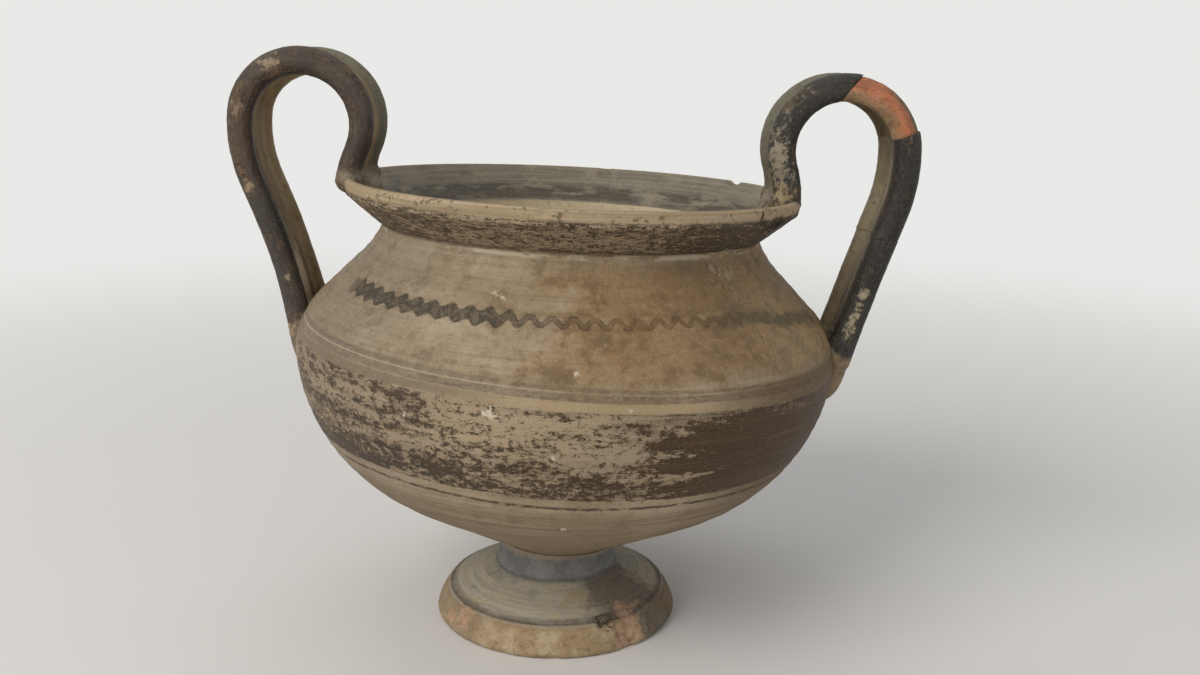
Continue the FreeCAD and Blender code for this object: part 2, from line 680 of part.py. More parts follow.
# The luting clay: a tongue over the lip, and a tapering lump down the belly
def make_rim_pad(side, wall):
    """The clay that holds a strap on the lip, seated on the rim and its inner slope."""
    body = new_body("%s_rim_pad_whole" % side)
    slope = LIP_SLOPE
    bead_across = "Sizes.rim_radius - Sizes.rim_round"
    bead_up = "Sizes.rim_height - Sizes.rim_round"
    depth_across = "Sizes.rim_pad_depth * cos(%s)" % slope
    depth_up = "Sizes.rim_pad_depth * sin(%s)" % slope
    tip_across = "%s - %s - Sizes.rim_round * sin(%s)" % (bead_across, depth_across, slope)
    tip_up = "%s - %s + Sizes.rim_round * cos(%s)" % (bead_up, depth_up, slope)
    corners = [
        (bead_across, bead_up),
        ("Sizes.rim_radius + Sizes.rim_pad_overhang", bead_up),
        ("Sizes.rim_radius + Sizes.rim_pad_overhang", "Sizes.rim_height"),
        (bead_across, "Sizes.rim_height + Sizes.rim_pad_thickness"),
        (tip_across, tip_up),
        (bead_across + " - " + depth_across, bead_up + " - " + depth_up),
    ]
    middle = "180" if side == "left" else "0"
    offset = turned_about_z(middle + " - Sizes.rim_pad_half_angle")
    sketch = polygon(body, body.Name + "_outline", "XZ_Plane", corners, offset)
    revolve(body, sketch, "2 * Sizes.rim_pad_half_angle")
    keep(trim("%s_rim_luting" % side, body, wall))
    return body


def make_root_pad(side, form):
    """The clay that holds a strap on the belly and tapers off below it."""
    sign = -1 if side == "left" else 1
    lump = doc.addObject("Part::Ellipsoid", "%s_root_lump" % side)
    lump.setExpression("Radius1", "Sizes.root_pad_half_height")
    lump.setExpression("Radius2", "Sizes.root_pad_thickness + Sizes.root_pad_bed")
    lump.setExpression("Radius3", "Sizes.root_pad_half_width")
    for angle_name, angle in (("Angle1", -90), ("Angle2", 90), ("Angle3", 360)):
        setattr(lump, angle_name, angle)
    belly_centre = "(Sizes.belly_radius - Sizes.belly_curve)"
    below = "(Sizes.belly_height - Sizes.root_pad_height)"
    surface = "(%s + sqrt(Sizes.belly_curve ^ 2 - %s ^ 2))" % (belly_centre, below)
    across = "%d * (%s - Sizes.root_pad_bed)" % (sign, surface)
    where = "vector(%s; -Sizes.strap_plane; Sizes.root_pad_height)" % across
    turn = "rotation(vector(0; 1; 0); %d * Sizes.root_pad_angle)" % sign
    lump.setExpression("Placement", "placement(%s; %s)" % (where, turn))
    keep(trim("%s_root_luting" % side, lump, form))
    return lump


# The breaks of the right handle, drawn as regions that meet along each break
def break_point(radius, turn):
    """The formulas of a point round the right arch's centre."""
    across = "Sizes.right_arch_reach + (%s) * cos(%s * 1 deg)" % (radius, turn)
    up = "Sizes.right_arch_height + (%s) * sin(%s * 1 deg)" % (radius, turn)
    return across, up


def make_region(name, corners):
    """A slab across the whole strap, with one sherd's outline."""
    body = new_body(name)
    sketch = polygon(body, name + "_outline", "XZ_Plane", corners)
    slab = body.newObject("PartDesign::Pad", name + "_slab")
    slab.Profile = sketch
    slab.Midplane = True
    slab.setExpression("Length", "4 * Sizes.margin_spacing")
    body.Tip = slab
    return body


def make_break_regions():
    """The four regions that share out the right handle, from the lip round to the root."""
    inside = "Sizes.right_arch_curve - 2 * Sizes.right_margin_radius"
    outside = "Sizes.right_arch_curve + 2 * Sizes.right_margin_radius"
    hub = ("Sizes.right_arch_reach", "Sizes.right_arch_height")
    crown_inner = break_point(inside, "Sizes.crown_break_inner_angle")
    crown_outer = break_point(outside, "Sizes.crown_break_outer_angle")
    arm_inner = break_point(inside, "Sizes.outer_break_inner_angle")
    arm_outer = break_point(outside, "Sizes.outer_break_outer_angle")
    left = "Sizes.neck_radius - 2 * Sizes.wall"
    right = "Sizes.right_arch_reach + Sizes.right_arch_curve + 4 * Sizes.right_margin_radius"
    top = "Sizes.right_arch_height + Sizes.right_arch_curve + 4 * Sizes.right_margin_radius"
    bottom = "Sizes.strap_end_height - 4 * Sizes.right_margin_radius"
    break_left = ("Sizes.right_arch_reach", "Sizes.arm_break_height + Sizes.arm_break_fall")
    break_right = (right, "Sizes.arm_break_height - Sizes.arm_break_fall")
    lip_side = "Sizes.neck_height"
    return {
        "stub": [hub, crown_inner, crown_outer, (crown_outer[0], top), (left, top),
                 (left, lip_side), ("Sizes.right_arch_reach", lip_side)],
        "crown": [hub, arm_inner, arm_outer, (right, arm_outer[1]), (right, top),
                  (crown_outer[0], top), crown_outer, crown_inner],
        "upper": [hub, break_left, break_right, (right, arm_outer[1]), arm_outer, arm_inner],
        "lower": [break_left, ("Sizes.right_arch_reach", "Sizes.neck_height"),
                  (left, "Sizes.neck_height"), (left, bottom), (right, bottom), break_right],
    }


def check_document():
    """Stop if any object failed to build."""
    for item in doc.Objects:
        if "Invalid" in item.State or "Error" in item.State:
            raise RuntimeError("%s failed: %s" % (item.Name, item.State))
    for piece in pieces:
        if piece.Shape.isNull() or not piece.Shape.isValid():
            raise RuntimeError(piece.Name + " has no valid shape")
        if len(piece.Shape.Solids) != 1:
            raise RuntimeError("%s has %d solids" % (piece.Name, len(piece.Shape.Solids)))


make_foot()
bowl_wall = make_bowl_wall()
bowl_form = make_bowl_form()
lip_break = make_lip_break()
keep(trim("bowl", bowl_wall, lip_break))
keep(share_of("right_rim_sherd", bowl_wall, lip_break))

MARGINS = {"front": -1, "rear": 1}
straps = {}
for side in ("left", "right"):
    rim_pad = make_rim_pad(side, bowl_wall)
    root_pad = make_root_pad(side, bowl_form)
    members = {"web": make_web(side)}
    for place, towards in MARGINS.items():
        members[place + "_margin"] = make_margin(side, place, towards)
    for member, whole in members.items():
        name = "%s_handle_%s" % (side, member)
        straps[name] = trim(name, whole, bowl_form, bowl_wall, rim_pad, root_pad)

for name, strap in straps.items():
    if name.startswith("left"):
        keep(strap)
for sherd, corners in make_break_regions().items():
    region = make_region(sherd + "_region", corners)
    for member in ("web", "front_margin", "rear_margin"):
        keep(share_of("right_%s_%s" % (sherd, member), straps["right_handle_" + member], region))

doc.recompute()
check_document()
os.makedirs(PARTS_FOLDER, exist_ok=True)
for piece in pieces:
    piece.Shape.exportStep(os.path.join(PARTS_FOLDER, piece.Label + ".step"))
    box = piece.Shape.BoundBox
    print("%-28s %8.0f mm3  z %.1f to %.1f" % (piece.Label, piece.Shape.Volume, box.ZMin, box.ZMax))
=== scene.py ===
import math
from functools import partial, reduce
from operator import mul

import bmesh
import bpy
import numpy as np
from mathutils import Matrix, Vector, noise


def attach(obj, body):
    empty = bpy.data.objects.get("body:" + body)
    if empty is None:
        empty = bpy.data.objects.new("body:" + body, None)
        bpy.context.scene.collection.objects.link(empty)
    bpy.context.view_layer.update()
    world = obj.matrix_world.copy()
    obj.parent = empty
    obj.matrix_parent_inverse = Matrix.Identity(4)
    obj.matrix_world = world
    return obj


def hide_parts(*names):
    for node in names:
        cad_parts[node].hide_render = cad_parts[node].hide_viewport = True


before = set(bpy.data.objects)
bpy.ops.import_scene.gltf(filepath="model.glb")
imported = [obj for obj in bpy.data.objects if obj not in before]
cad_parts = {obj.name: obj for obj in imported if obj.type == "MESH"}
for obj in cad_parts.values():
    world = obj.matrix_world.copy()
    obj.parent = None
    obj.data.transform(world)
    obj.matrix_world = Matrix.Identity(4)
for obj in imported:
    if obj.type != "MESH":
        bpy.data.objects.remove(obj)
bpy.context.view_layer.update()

# Two-handled footed cup of fired clay. Lengths are in millimetres until a mesh is made.
METRE = 0.001
BACKDROP = "#e9e9e7"

# The photograph's camera, fitted to the cup
CAMERA_PLACE = Vector((13.14, -333.86, 162.03))
CAMERA_HEADING = 0.97
CAMERA_DIP = -13.76
CAMERA_ROLL = -0.78
PHOTO_WIDTH = 1200
PHOTO_HEIGHT = 675
FOCAL_PIXELS = 1234.53
SENSOR_WIDTH = 36.0

# The leaned frame of the bowl on the level foot
FOOT_AXIS = Vector((-4.3, -1.0, 0.0))
BOWL_PLACE = Vector((-3.9, -1.4, 22.0))
LEAN = 2.53
LEAN_AZIMUTH = 33.6

# Bowl
JOINT_RADIUS = 16.5
BELLY_RADIUS = 73.5
BELLY_HEIGHT = 56.0
BELLY_CURVE = 48.6
BELLY_BLEND = 6.4
SHOULDER_CURVE = 18.5
SHOULDER_TILT = 44.8
NECK_RADIUS = 51.1
NECK_HEIGHT = 88.8
NECK_CURVE = 24.6
WALL = 4.0
FLOOR_WALL = 4.6
RIM_RADIUS = 61.3
RIM_HEIGHT = 100.9
RIM_ROUND = 1.6
LIP_EDGE_HEIGHT = 4.2
LIP_EDGE_SETBACK = 0.6

# The lip's mended sector, the hairline at its breaks and how far each break wanders
SHERD_FRONT = -40.0
SHERD_REAR = 23.0
HAIRLINE = 0.02
WANDER_REACH = 5

# Spacing of the points along the bowl's and foot's profiles, and their number round each
OUTER_STEP = 0.55
LIP_STEP = 0.35
INNER_STEP = 1.1
SHERD_COLUMNS = 110
REST_COLUMNS = 470
FOOT_STEP = 0.5
FOOT_COLUMNS = 420

# The painted wavy line: degrees from crest to crest, millimetres of swing, and its slope where steepest
WAVE_PERIOD = 4.62
WAVE_HEIGHT = 0.78
WAVE_STEEP = 1.40

# The plane that the bands follow, beside the wheel's: rise per millimetre of x and of y
BAND_TIP = (0.0323, -0.0114)

# Foot
FOOT_RADIUS = 34.2
FOOT_HEIGHT = 22.0
FOOT_EDGE_ROUND = 1.4
FOOT_EDGE_TOP = (31.2, 8.4)
FOOT_RING_INNER = 28.6
STEM_BASE = (17.9, 14.5)
STEM_LEDGE = 0.7
STEM_CURVE = 16.0
STEM_EASE = 15.0
HOLLOW = (7.0, 8.0)
WORN_EDGE = 29

# Handles
STRAP_PLANE = -2.4
STRAP_FOOT = 94.5
STRAP_START = 0.035
STRAP_END = 0.985
MARGIN_ACROSS = 9.6
WEB_THICKNESS = 3.8
LEFT = dict(side=-1, reach=71.3, height=114.5, arch=16.1, roll=3.15, knee=28.8, knee_turn=22.7,
            end_turn=2.3, bend=38.0, arm=25.6, root=10.8)
RIGHT = dict(side=1, reach=70.1, height=114.1, arch=16.2, roll=3.7, knee=25.2, knee_turn=19.1,
             end_turn=5.6, bend=44.0, arm=17.4, root=15.0)

# How far along the right strap each break lies, and how much it slants
RIGHT_BREAKS = {"crown": (0.3435, 0.76), "outer": (0.505, -0.11), "arm": (0.7145, -0.28)}
# The right strap's sherds: how much slimmer and deeper each is than the strap, its lumpiness and its seed
RIGHT_SHERDS = {"stub": (0.0, 0.0, 0.10, 11.0), "crown": (0.15, 0.3, 0.22, 17.0),
                "upper": (0.0, 0.0, 0.08, 23.0), "lower": (0.05, -0.15, 0.14, 29.0)}
# The remesh rounds the sherds' ends off, so their shells pass each break by this share of the strap
OVERLAP = 0.0016
VOXEL = 0.42
# How far inside the outer face of the wall a handle's clay may reach
SEAT_DEPTH = 1.6


def cosd(degrees):
    return math.cos(math.radians(degrees))


def sind(degrees):
    return math.sin(math.radians(degrees))


def turn_matrix(axis, degrees):
    return Matrix.Rotation(math.radians(degrees), 4, axis)


def turn_gap(azimuth, other):
    """Degrees from one azimuth to another, the short way round."""
    return (azimuth - other + 180) % 360 - 180


CAMERA_TURN = turn_matrix("Z", CAMERA_HEADING) @ turn_matrix("X", CAMERA_DIP) @ turn_matrix("Y", CAMERA_ROLL)
LEAN_AXIS = Vector((-sind(LEAN_AZIMUTH), cosd(LEAN_AZIMUTH), 0.0))
BOWL_FRAME = Matrix.Translation(BOWL_PLACE) @ turn_matrix(LEAN_AXIS, LEAN)


def photo_point(pixel, depth):
    """The row-frame point that a pixel of the photograph shows in the upright plane y = depth."""
    across = (pixel[0] - PHOTO_WIDTH / 2) / FOCAL_PIXELS
    up = (PHOTO_HEIGHT / 2 - pixel[1]) / FOCAL_PIXELS
    ray = CAMERA_TURN.to_3x3() @ Vector((across, 1.0, up))
    return CAMERA_PLACE + ray * ((depth - CAMERA_PLACE.y) / ray.y)


# Profiles
def polar(centre, radius, degrees):
    return (centre[0] + radius * cosd(degrees), centre[1] + radius * sind(degrees))


def arc(centre, radius, start, end, step):
    """Points along an arc, about a step apart."""
    count = max(2, int(abs(math.radians(end - start)) * radius / step) + 1)
    return [polar(centre, radius, start + (end - start) * k / count) for k in range(count + 1)]


def run(start, end, step):
    """Points along a straight run, about a step apart."""
    count = max(1, int(math.hypot(end[0] - start[0], end[1] - start[1]) / step))
    return [tuple(a + (b - a) * k / count for a, b in zip(start, end)) for k in range(count + 1)]


def chain(*runs):
    """Runs and arcs end to end, without doubled points."""
    points = []
    for part in runs:
        for spot in part:
            if not points or math.hypot(spot[0] - points[-1][0], spot[1] - points[-1][1]) > 1e-4:
                points.append(spot)
    return points


def runs_along(profile):
    """How far along a profile each of its points lies."""
    total = [0.0]
    for a, b in zip(profile, profile[1:]):
        total.append(total[-1] + math.hypot(b[0] - a[0], b[1] - a[1]))
    return total


def pressed(profile, k, press):
    """Point k of a profile, moved into the clay."""
    before = profile[max(k - 1, 0)]
    after = profile[min(k + 1, len(profile) - 1)]
    along = (after[0] - before[0], after[1] - before[1])
    length = math.hypot(*along) or 1.0
    radius, height = profile[k]
    return radius - press * along[1] / length, height + press * along[0] / length


SHOULDER_CENTRE = (BELLY_RADIUS - SHOULDER_CURVE, BELLY_HEIGHT)
BELLY_CENTRE = polar(SHOULDER_CENTRE, SHOULDER_CURVE - BELLY_CURVE, -BELLY_BLEND)
LIP_CORNER = (RIM_RADIUS - LIP_EDGE_SETBACK, RIM_HEIGHT - LIP_EDGE_HEIGHT)
LIP_SLOPE = math.degrees(math.atan2(LIP_CORNER[1] - NECK_HEIGHT, LIP_CORNER[0] - NECK_RADIUS))


def base_slope():
    """How steeply the straight wall rises from the joint to touch the belly's curve."""
    gap = (BELLY_CENTRE[0] - JOINT_RADIUS, BELLY_CENTRE[1])
    return math.degrees(math.atan2(gap[1], gap[0]) - math.asin(BELLY_CURVE / math.hypot(*gap)))


def neck_arc():
    """The centre of the neck's curve and the turn at which it reaches the crease."""
    end = polar(SHOULDER_CENTRE, SHOULDER_CURVE, SHOULDER_TILT)
    along = polar((0, 0), 1, SHOULDER_TILT + 90)
    foot = polar(end, NECK_CURVE, SHOULDER_TILT)
    reach = (NECK_RADIUS - foot[0], NECK_HEIGHT - foot[1])
    forward = reach[0] * along[0] + reach[1] * along[1]
    distance = forward - math.sqrt(forward ** 2 - reach[0] ** 2 - reach[1] ** 2 + NECK_CURVE ** 2)
    centre = (foot[0] + along[0] * distance, foot[1] + along[1] * distance)
    crease = math.degrees(math.atan2(NECK_HEIGHT - centre[1], NECK_RADIUS - centre[0])) % 360
    return centre, crease


def outer_wall(step):
    """The outside of the bowl from the joint to the neck crease."""
    slope = base_slope()
    neck, crease = neck_arc()
    return chain(
        run((JOINT_RADIUS, 0.0), polar(BELLY_CENTRE, BELLY_CURVE, slope - 90), step),
        arc(BELLY_CENTRE, BELLY_CURVE, slope - 90, -BELLY_BLEND, step),
        arc(SHOULDER_CENTRE, SHOULDER_CURVE, -BELLY_BLEND, SHOULDER_TILT, step),
        run(polar(SHOULDER_CENTRE, SHOULDER_CURVE, SHOULDER_TILT), polar(neck, NECK_CURVE, SHOULDER_TILT + 180), step),
        arc(neck, NECK_CURVE, SHOULDER_TILT + 180, crease, step),
    )


def lip_wall(step):
    """The lip from the neck crease out to its edge, over the crest and in to the neck's bore."""
    bead = (RIM_RADIUS - RIM_ROUND, RIM_HEIGHT - RIM_ROUND)
    top = polar(bead, RIM_ROUND, 90 + LIP_SLOPE)
    bore = NECK_RADIUS - WALL
    drop = (top[0] - bore) * math.tan(math.radians(LIP_SLOPE))
    return chain(
        run((NECK_RADIUS, NECK_HEIGHT), LIP_CORNER, step),
        run(LIP_CORNER, (RIM_RADIUS, bead[1]), step),
        arc(bead, RIM_ROUND, 0, 90 + LIP_SLOPE, step),
        run(top, (bore, top[1] - drop), step),
    )


def inner_wall(step):
    """The inside of the bowl from the neck's bore down to the floor."""
    slope = base_slope()
    bore = NECK_RADIUS - WALL
    shoulder = polar(SHOULDER_CENTRE, SHOULDER_CURVE - WALL, SHOULDER_TILT)
    along = polar((0, 0), 1, SHOULDER_TILT + 90)
    top = (bore, shoulder[1] + along[1] * (bore - shoulder[0]) / along[0])
    low = polar(BELLY_CENTRE, BELLY_CURVE - WALL, slope - 90)
    floor_run = (low[1] - FLOOR_WALL) / sind(slope)
    return chain(
        run(lip_wall(step)[-1], top, step),
        run(top, shoulder, step),
        arc(SHOULDER_CENTRE, SHOULDER_CURVE - WALL, SHOULDER_TILT, -BELLY_BLEND, step),
        arc(BELLY_CENTRE, BELLY_CURVE - WALL, -BELLY_BLEND, slope - 90, step),
        run(low, polar(low, -floor_run, slope), step),
    )


# What time did to the lip: azimuth, height, size across and depth of each chip
LIP_CHIPS = {
    "front_left_chip": (-93.8, 100.4, 1.3, 0.5),
    "front_middle_chip": (-66.7, 98.7, 1.6, 0.35),
    "front_right_chip": (-60.2, 97.0, 1.6, 0.4),
    "crack_chip": (-39.0, 97.0, 1.6, 0.7),
    "sherd_chip": (-31.0, 96.6, 3.2, 0.8),
    "rear_crack_chip": (37.7, 100.6, 1.8, 0.9),
    "rear_chip": (82.0, 99.4, 2.0, 0.25),
    "rear_left_chip": (128.0, 97.3, 2.0, 0.5),
}
# How chips break: reach in degrees, stretch along the edge, grain along and up, raggedness and steepness
LIP_BREAKAGE = (6, 1.35, (0.9, 0.9), 0.35, 2.2)
FOOT_BREAKAGE = (22, 1.5, (0.55, 0.7), 0.45, 2.0)


def chip_depths(chips, breakage, azimuth, radius, height):
    """How deep each chip near a point cuts there."""
    reach, stretch, grain, raggedness, steep = breakage
    for where, level, across, depth in chips.values():
        gap = turn_gap(azimuth, where)
        if abs(gap) > reach:
            continue
        along = math.radians(gap) * radius
        rough = noise.noise(Vector((along * grain[0], height * grain[1], where)))
        far = math.hypot(along / stretch, height - level) / across + raggedness * rough
        if far < 1.0:
            yield depth * min(1.0, steep * (1.0 - far))


def wheel_marks(azimuth, height, inside):
    """How far the wheel's ridges and the hand press the wall in, never out, in millimetres."""
    level = height + 0.35 * (1.6 * sind(azimuth + 40) + 0.7 * sind(2 * azimuth))
    if inside:
        return 0.24 + (0.16 * math.sin(level * 1.15) + 0.07 * math.sin(level * 3.1 + 1.3))
    ridges = 0.05 * math.sin(level * 2.05 + 0.6) + 0.035 * math.sin(level * 4.6) + 0.03 * math.sin(level * 0.8)
    return 0.18 + ridges + 0.12 * noise.noise(Vector((*polar((0, 0), 1.7, azimuth), height * 0.05)))


def crack_wander(level, seed):
    """How far the break through the lip wanders from its azimuth, in degrees."""
    return 1.1 * noise.noise(Vector((level * 0.23, seed, 0.4))) + 0.4 * noise.noise(Vector((level * 0.9, seed, 2.4)))


# Meshes
def add_object(name, data):
    obj = bpy.data.objects.new(name, data)
    bpy.context.scene.collection.objects.link(obj)
    return obj


def mesh_object(name, vertices, faces, smooth=True):
    """A mesh object from vertices in row-frame millimetres."""
    mesh = bpy.data.meshes.new(name)
    mesh.from_pydata([tuple(Vector(v) * METRE) for v in vertices], [], faces)
    mesh.validate()
    mesh.update()
    if smooth:
        mesh.polygons.foreach_set("use_smooth", [True] * len(mesh.polygons))
    return add_object(name, mesh)


def paint(obj, name, values):
    """A number on each vertex, for a material to read."""
    layer = obj.data.attributes.new(name, "FLOAT", "POINT")
    layer.data.foreach_set("value", np.asarray(values, dtype=np.float32))


def sharpen(obj, degrees):
    """Keep the creases crisp under smooth shading."""
    obj.data.set_sharp_from_angle(angle=math.radians(degrees))


def grid_faces(rows, columns, closed=True):
    """Faces between rows of vertices, closed round or open."""
    faces = []
    for row in range(rows - 1):
        for column in range(columns if closed else columns - 1):
            beside = (column + 1) % columns
            faces.append((row * columns + column, row * columns + beside,
                          (row + 1) * columns + beside, (row + 1) * columns + column))
    return faces


def cap_faces(rows, columns):
    """Fans from the first and last rows to the two middle vertices that follow the grid."""
    last = (rows - 1) * columns
    faces = []
    for i in range(columns):
        j = (i + 1) % columns
        faces.append((rows * columns, j, i))
        faces.append((rows * columns + 1, last + i, last + j))
    return faces


def bowl_and_sherd():
    """The bowl with the lip's sector left out, the sherd that fills it, each closed, and runs of their profile."""
    outer, lip, inner = outer_wall(OUTER_STEP), lip_wall(LIP_STEP), inner_wall(INNER_STEP)
    profile = chain(outer, lip, inner)
    lip_rows = range(len(outer) - 1, len(outer) + len(lip) - 1)
    lip_start, lip_end = lip_rows[0], lip_rows[-1]
    marks = [SHERD_FRONT + (SHERD_REAR - SHERD_FRONT) * k / SHERD_COLUMNS for k in range(SHERD_COLUMNS)]
    marks += [SHERD_REAR + (360 - SHERD_REAR + SHERD_FRONT) * k / REST_COLUMNS for k in range(REST_COLUMNS)]
    total = len(marks)
    size = len(profile)
    along_profile = runs_along(profile)
    crest = max(range(size), key=lambda k: profile[k][1])

    def spot(k, i, way):
        """Vertex i of row k, on a break moved to the sherd's side (1) or the bowl's (-1) of the hairline."""
        azimuth = marks[i % total]
        press = wheel_marks(azimuth, profile[k][1], k > crest)
        if k in lip_rows:
            press = press * 0.5 + max(chip_depths(LIP_CHIPS, LIP_BREAKAGE, azimuth, *profile[k]), default=0.0)
        radius, height = pressed(profile, k, press)
        if k in lip_rows:
            for edge, seed, inward in ((SHERD_FRONT, 3.0, 1), (SHERD_REAR, 8.0, -1)):
                away = abs(turn_gap(azimuth, edge))
                if away < WANDER_REACH:
                    azimuth += crack_wander(k * LIP_STEP, seed) * (1 - away / WANDER_REACH) ** 2
                if away < 0.01:
                    azimuth += way * math.degrees(HAIRLINE / radius) * inward
        return BOWL_FRAME @ Vector((*polar((0, 0), radius, azimuth), height))

    def finish(piece, rows):
        paint(piece, "profile_run", [along_profile[k] for k in rows])
        paint(piece, "inner_side", [float(k > crest) for k in rows])
        sharpen(piece, 42)
        return piece

    vertices = [spot(k, i, -1) for k in range(size) for i in range(total)]
    vertices += [BOWL_FRAME @ Vector((0, 0, height)) for height in (0, FLOOR_WALL)]
    faces = [face for face in grid_faces(size, total)
             if not (lip_start <= face[0] // total < lip_end and face[0] % total < SHERD_COLUMNS)]
    faces += cap_faces(size, total)
    below, above = lip_start * total, lip_end * total
    faces += [(below + i, below + i + 1, above + i + 1, above + i) for i in range(SHERD_COLUMNS)]
    faces.append(tuple(k * total for k in lip_rows))
    faces.append(tuple(k * total + SHERD_COLUMNS for k in reversed(lip_rows)))
    bowl = finish(mesh_object("bowl_visual", vertices, faces),
                  [k for k in range(size) for i in range(total)] + [0, size - 1])

    columns = SHERD_COLUMNS + 1
    rows = len(lip_rows)
    lift = BOWL_FRAME.to_3x3() @ Vector((0, 0, HAIRLINE))
    vertices = [spot(k, i, 1) + (lift if k in (lip_start, lip_end) else Vector())
                for k in lip_rows for i in range(columns)]
    last = (rows - 1) * columns
    faces = grid_faces(rows, columns, closed=False)
    faces += [(last + i, last + i + 1, i + 1, i) for i in range(SHERD_COLUMNS)]
    faces.append(tuple(k * columns for k in reversed(range(rows))))
    faces.append(tuple(k * columns + SHERD_COLUMNS for k in range(rows)))
    sherd = finish(mesh_object("right_lip_sherd_visual", vertices, faces),
                   [k for k in lip_rows for i in range(columns)])
    runs = {"edge": along_profile[profile.index(LIP_CORNER)], "crest": along_profile[crest],
            "bore": along_profile[lip_end]}
    return bowl, sherd, runs


# The soft groove between the foot's edge and its upper face: radius and height
FOOT_GROOVE = ((31.2, 7.9), (30.9, 8.35), (30.4, 8.5), (29.9, 8.45), (29.5, 8.65), (29.0, 9.41))
GROOVE_BOTTOM = 3

# What is gone from the edge of the foot: azimuth, height, size across and depth
FOOT_CHIPS = {
    "left_loss": (-138.0, 5.4, 4.0, 0.7),
    "far_left_loss": (-150.0, 3.4, 2.6, 0.5),
    "right_loss": (-47.0, 6.0, 5.0, 1.1),
    "right_low_loss": (-52.5, 2.6, 3.2, 0.7),
    "groove_notch": (-61.5, 8.4, 2.2, 0.7),
    "right_edge_crack": (-30.0, 4.4, 3.0, 0.7),
    "middle_nick": (-88.0, 1.4, 1.8, 0.3),
    "left_nick": (-112.0, 1.8, 2.0, 0.3),
    "rear_loss": (70.0, 4.0, 4.0, 0.8),
    "rear_left_nick": (145.0, 5.5, 2.4, 0.5),
}


def foot_profile(step):
    round_centre = (FOOT_RADIUS - FOOT_EDGE_ROUND, FOOT_EDGE_ROUND)
    reach = (FOOT_EDGE_TOP[0] - round_centre[0], FOOT_EDGE_TOP[1] - round_centre[1])
    edge_turn = math.degrees(math.atan2(reach[1], reach[0]) - math.acos(FOOT_EDGE_ROUND / math.hypot(*reach)))
    ledge_top = (STEM_BASE[0] - STEM_LEDGE, STEM_BASE[1] + STEM_LEDGE)
    top = (JOINT_RADIUS, FOOT_HEIGHT)
    chord = (top[0] - ledge_top[0], top[1] - ledge_top[1])
    length = math.hypot(*chord)
    away = math.sqrt(STEM_CURVE ** 2 - (length / 2) ** 2)
    waist = (
        (ledge_top[0] + top[0]) / 2 + chord[1] * away / length,
        (ledge_top[1] + top[1]) / 2 - chord[0] * away / length,
    )
    low, high = (math.degrees(math.atan2(end[1] - waist[1], end[0] - waist[0])) % 360 for end in (ledge_top, top))
    return chain(
        run(HOLLOW, (FOOT_RING_INNER, 0.0), step * 2),
        run((FOOT_RING_INNER, 0.0), (round_centre[0], 0.0), step),
        arc(round_centre, FOOT_EDGE_ROUND, -90, edge_turn, step * 0.6),
        run(polar(round_centre, FOOT_EDGE_ROUND, edge_turn), FOOT_GROOVE[0], step),
        *[run(a, b, step * 0.5) for a, b in zip(FOOT_GROOVE, FOOT_GROOVE[1:])],
        run(FOOT_GROOVE[-1], STEM_BASE, step),
        run(STEM_BASE, ledge_top, step * 0.6),
        arc(waist, STEM_CURVE, low, high, step),
    )


def foot_press(azimuth, radius, height):
    """Rings left by the tool, wear on the ring and losses from the edge, all inward."""
    press = 0.12 + 0.05 * math.sin(radius * 2.3 + 0.4 * sind(azimuth)) * (9.4 < height < 14.4)
    press += 0.05 * math.sin(height * 2.2) * (height > 15.6)
    if radius > WORN_EDGE:
        if 1.0 < height < 8.0:
            press -= 0.45 * math.sin(math.pi * (height - 1.0) / 7.0)
        for depth in chip_depths(FOOT_CHIPS, FOOT_BREAKAGE, azimuth, radius, height):
            press += depth
        if height < 8.4:
            x, y = polar((0, 0), radius, azimuth)
            press += 0.16 * max(0.0, noise.noise(Vector((x * 0.8, y * 0.8, height * 0.8))))
    return press


def foot():
    """The turned foot, its stem eased over to the leaned bowl, and runs of its profile."""
    profile = foot_profile(FOOT_STEP)
    lean = math.tan(math.radians(LEAN))
    shift = BOWL_PLACE - FOOT_AXIS
    vertices = []
    for k, (radius, height) in enumerate(profile):
        ease = min(max((height - STEM_EASE) / (FOOT_HEIGHT - STEM_EASE), 0.0), 1.0)
        for i in range(FOOT_COLUMNS):
            azimuth = 360.0 * i / FOOT_COLUMNS - 180
            press = foot_press(azimuth, radius, height) * (1 - ease) if height > 0.001 and k > 0 else 0.0
            far, level = pressed(profile, k, press)
            x, y = polar((0, 0), far, azimuth)
            tilt = -lean * (x * cosd(LEAN_AZIMUTH) + y * sind(LEAN_AZIMUTH))
            vertices.append(FOOT_AXIS + Vector((x + ease * shift.x, y + ease * shift.y, max(level, 0.0) + ease * tilt)))
    vertices += [FOOT_AXIS + Vector((0, 0, HOLLOW[1])), Vector((BOWL_PLACE.x, BOWL_PLACE.y, FOOT_HEIGHT))]
    faces = grid_faces(len(profile), FOOT_COLUMNS) + cap_faces(len(profile), FOOT_COLUMNS)
    piece = mesh_object("foot_visual", vertices, faces)
    along_profile = runs_along(profile)
    paint(piece, "profile_run", [far for far in along_profile for i in range(FOOT_COLUMNS)] + [0.0, along_profile[-1]])
    sharpen(piece, 44)
    return piece, {"ring": along_profile[profile.index((FOOT_RING_INNER, 0.0))],
                   "groove": along_profile[profile.index(FOOT_GROOVE[GROOVE_BOTTOM])]}


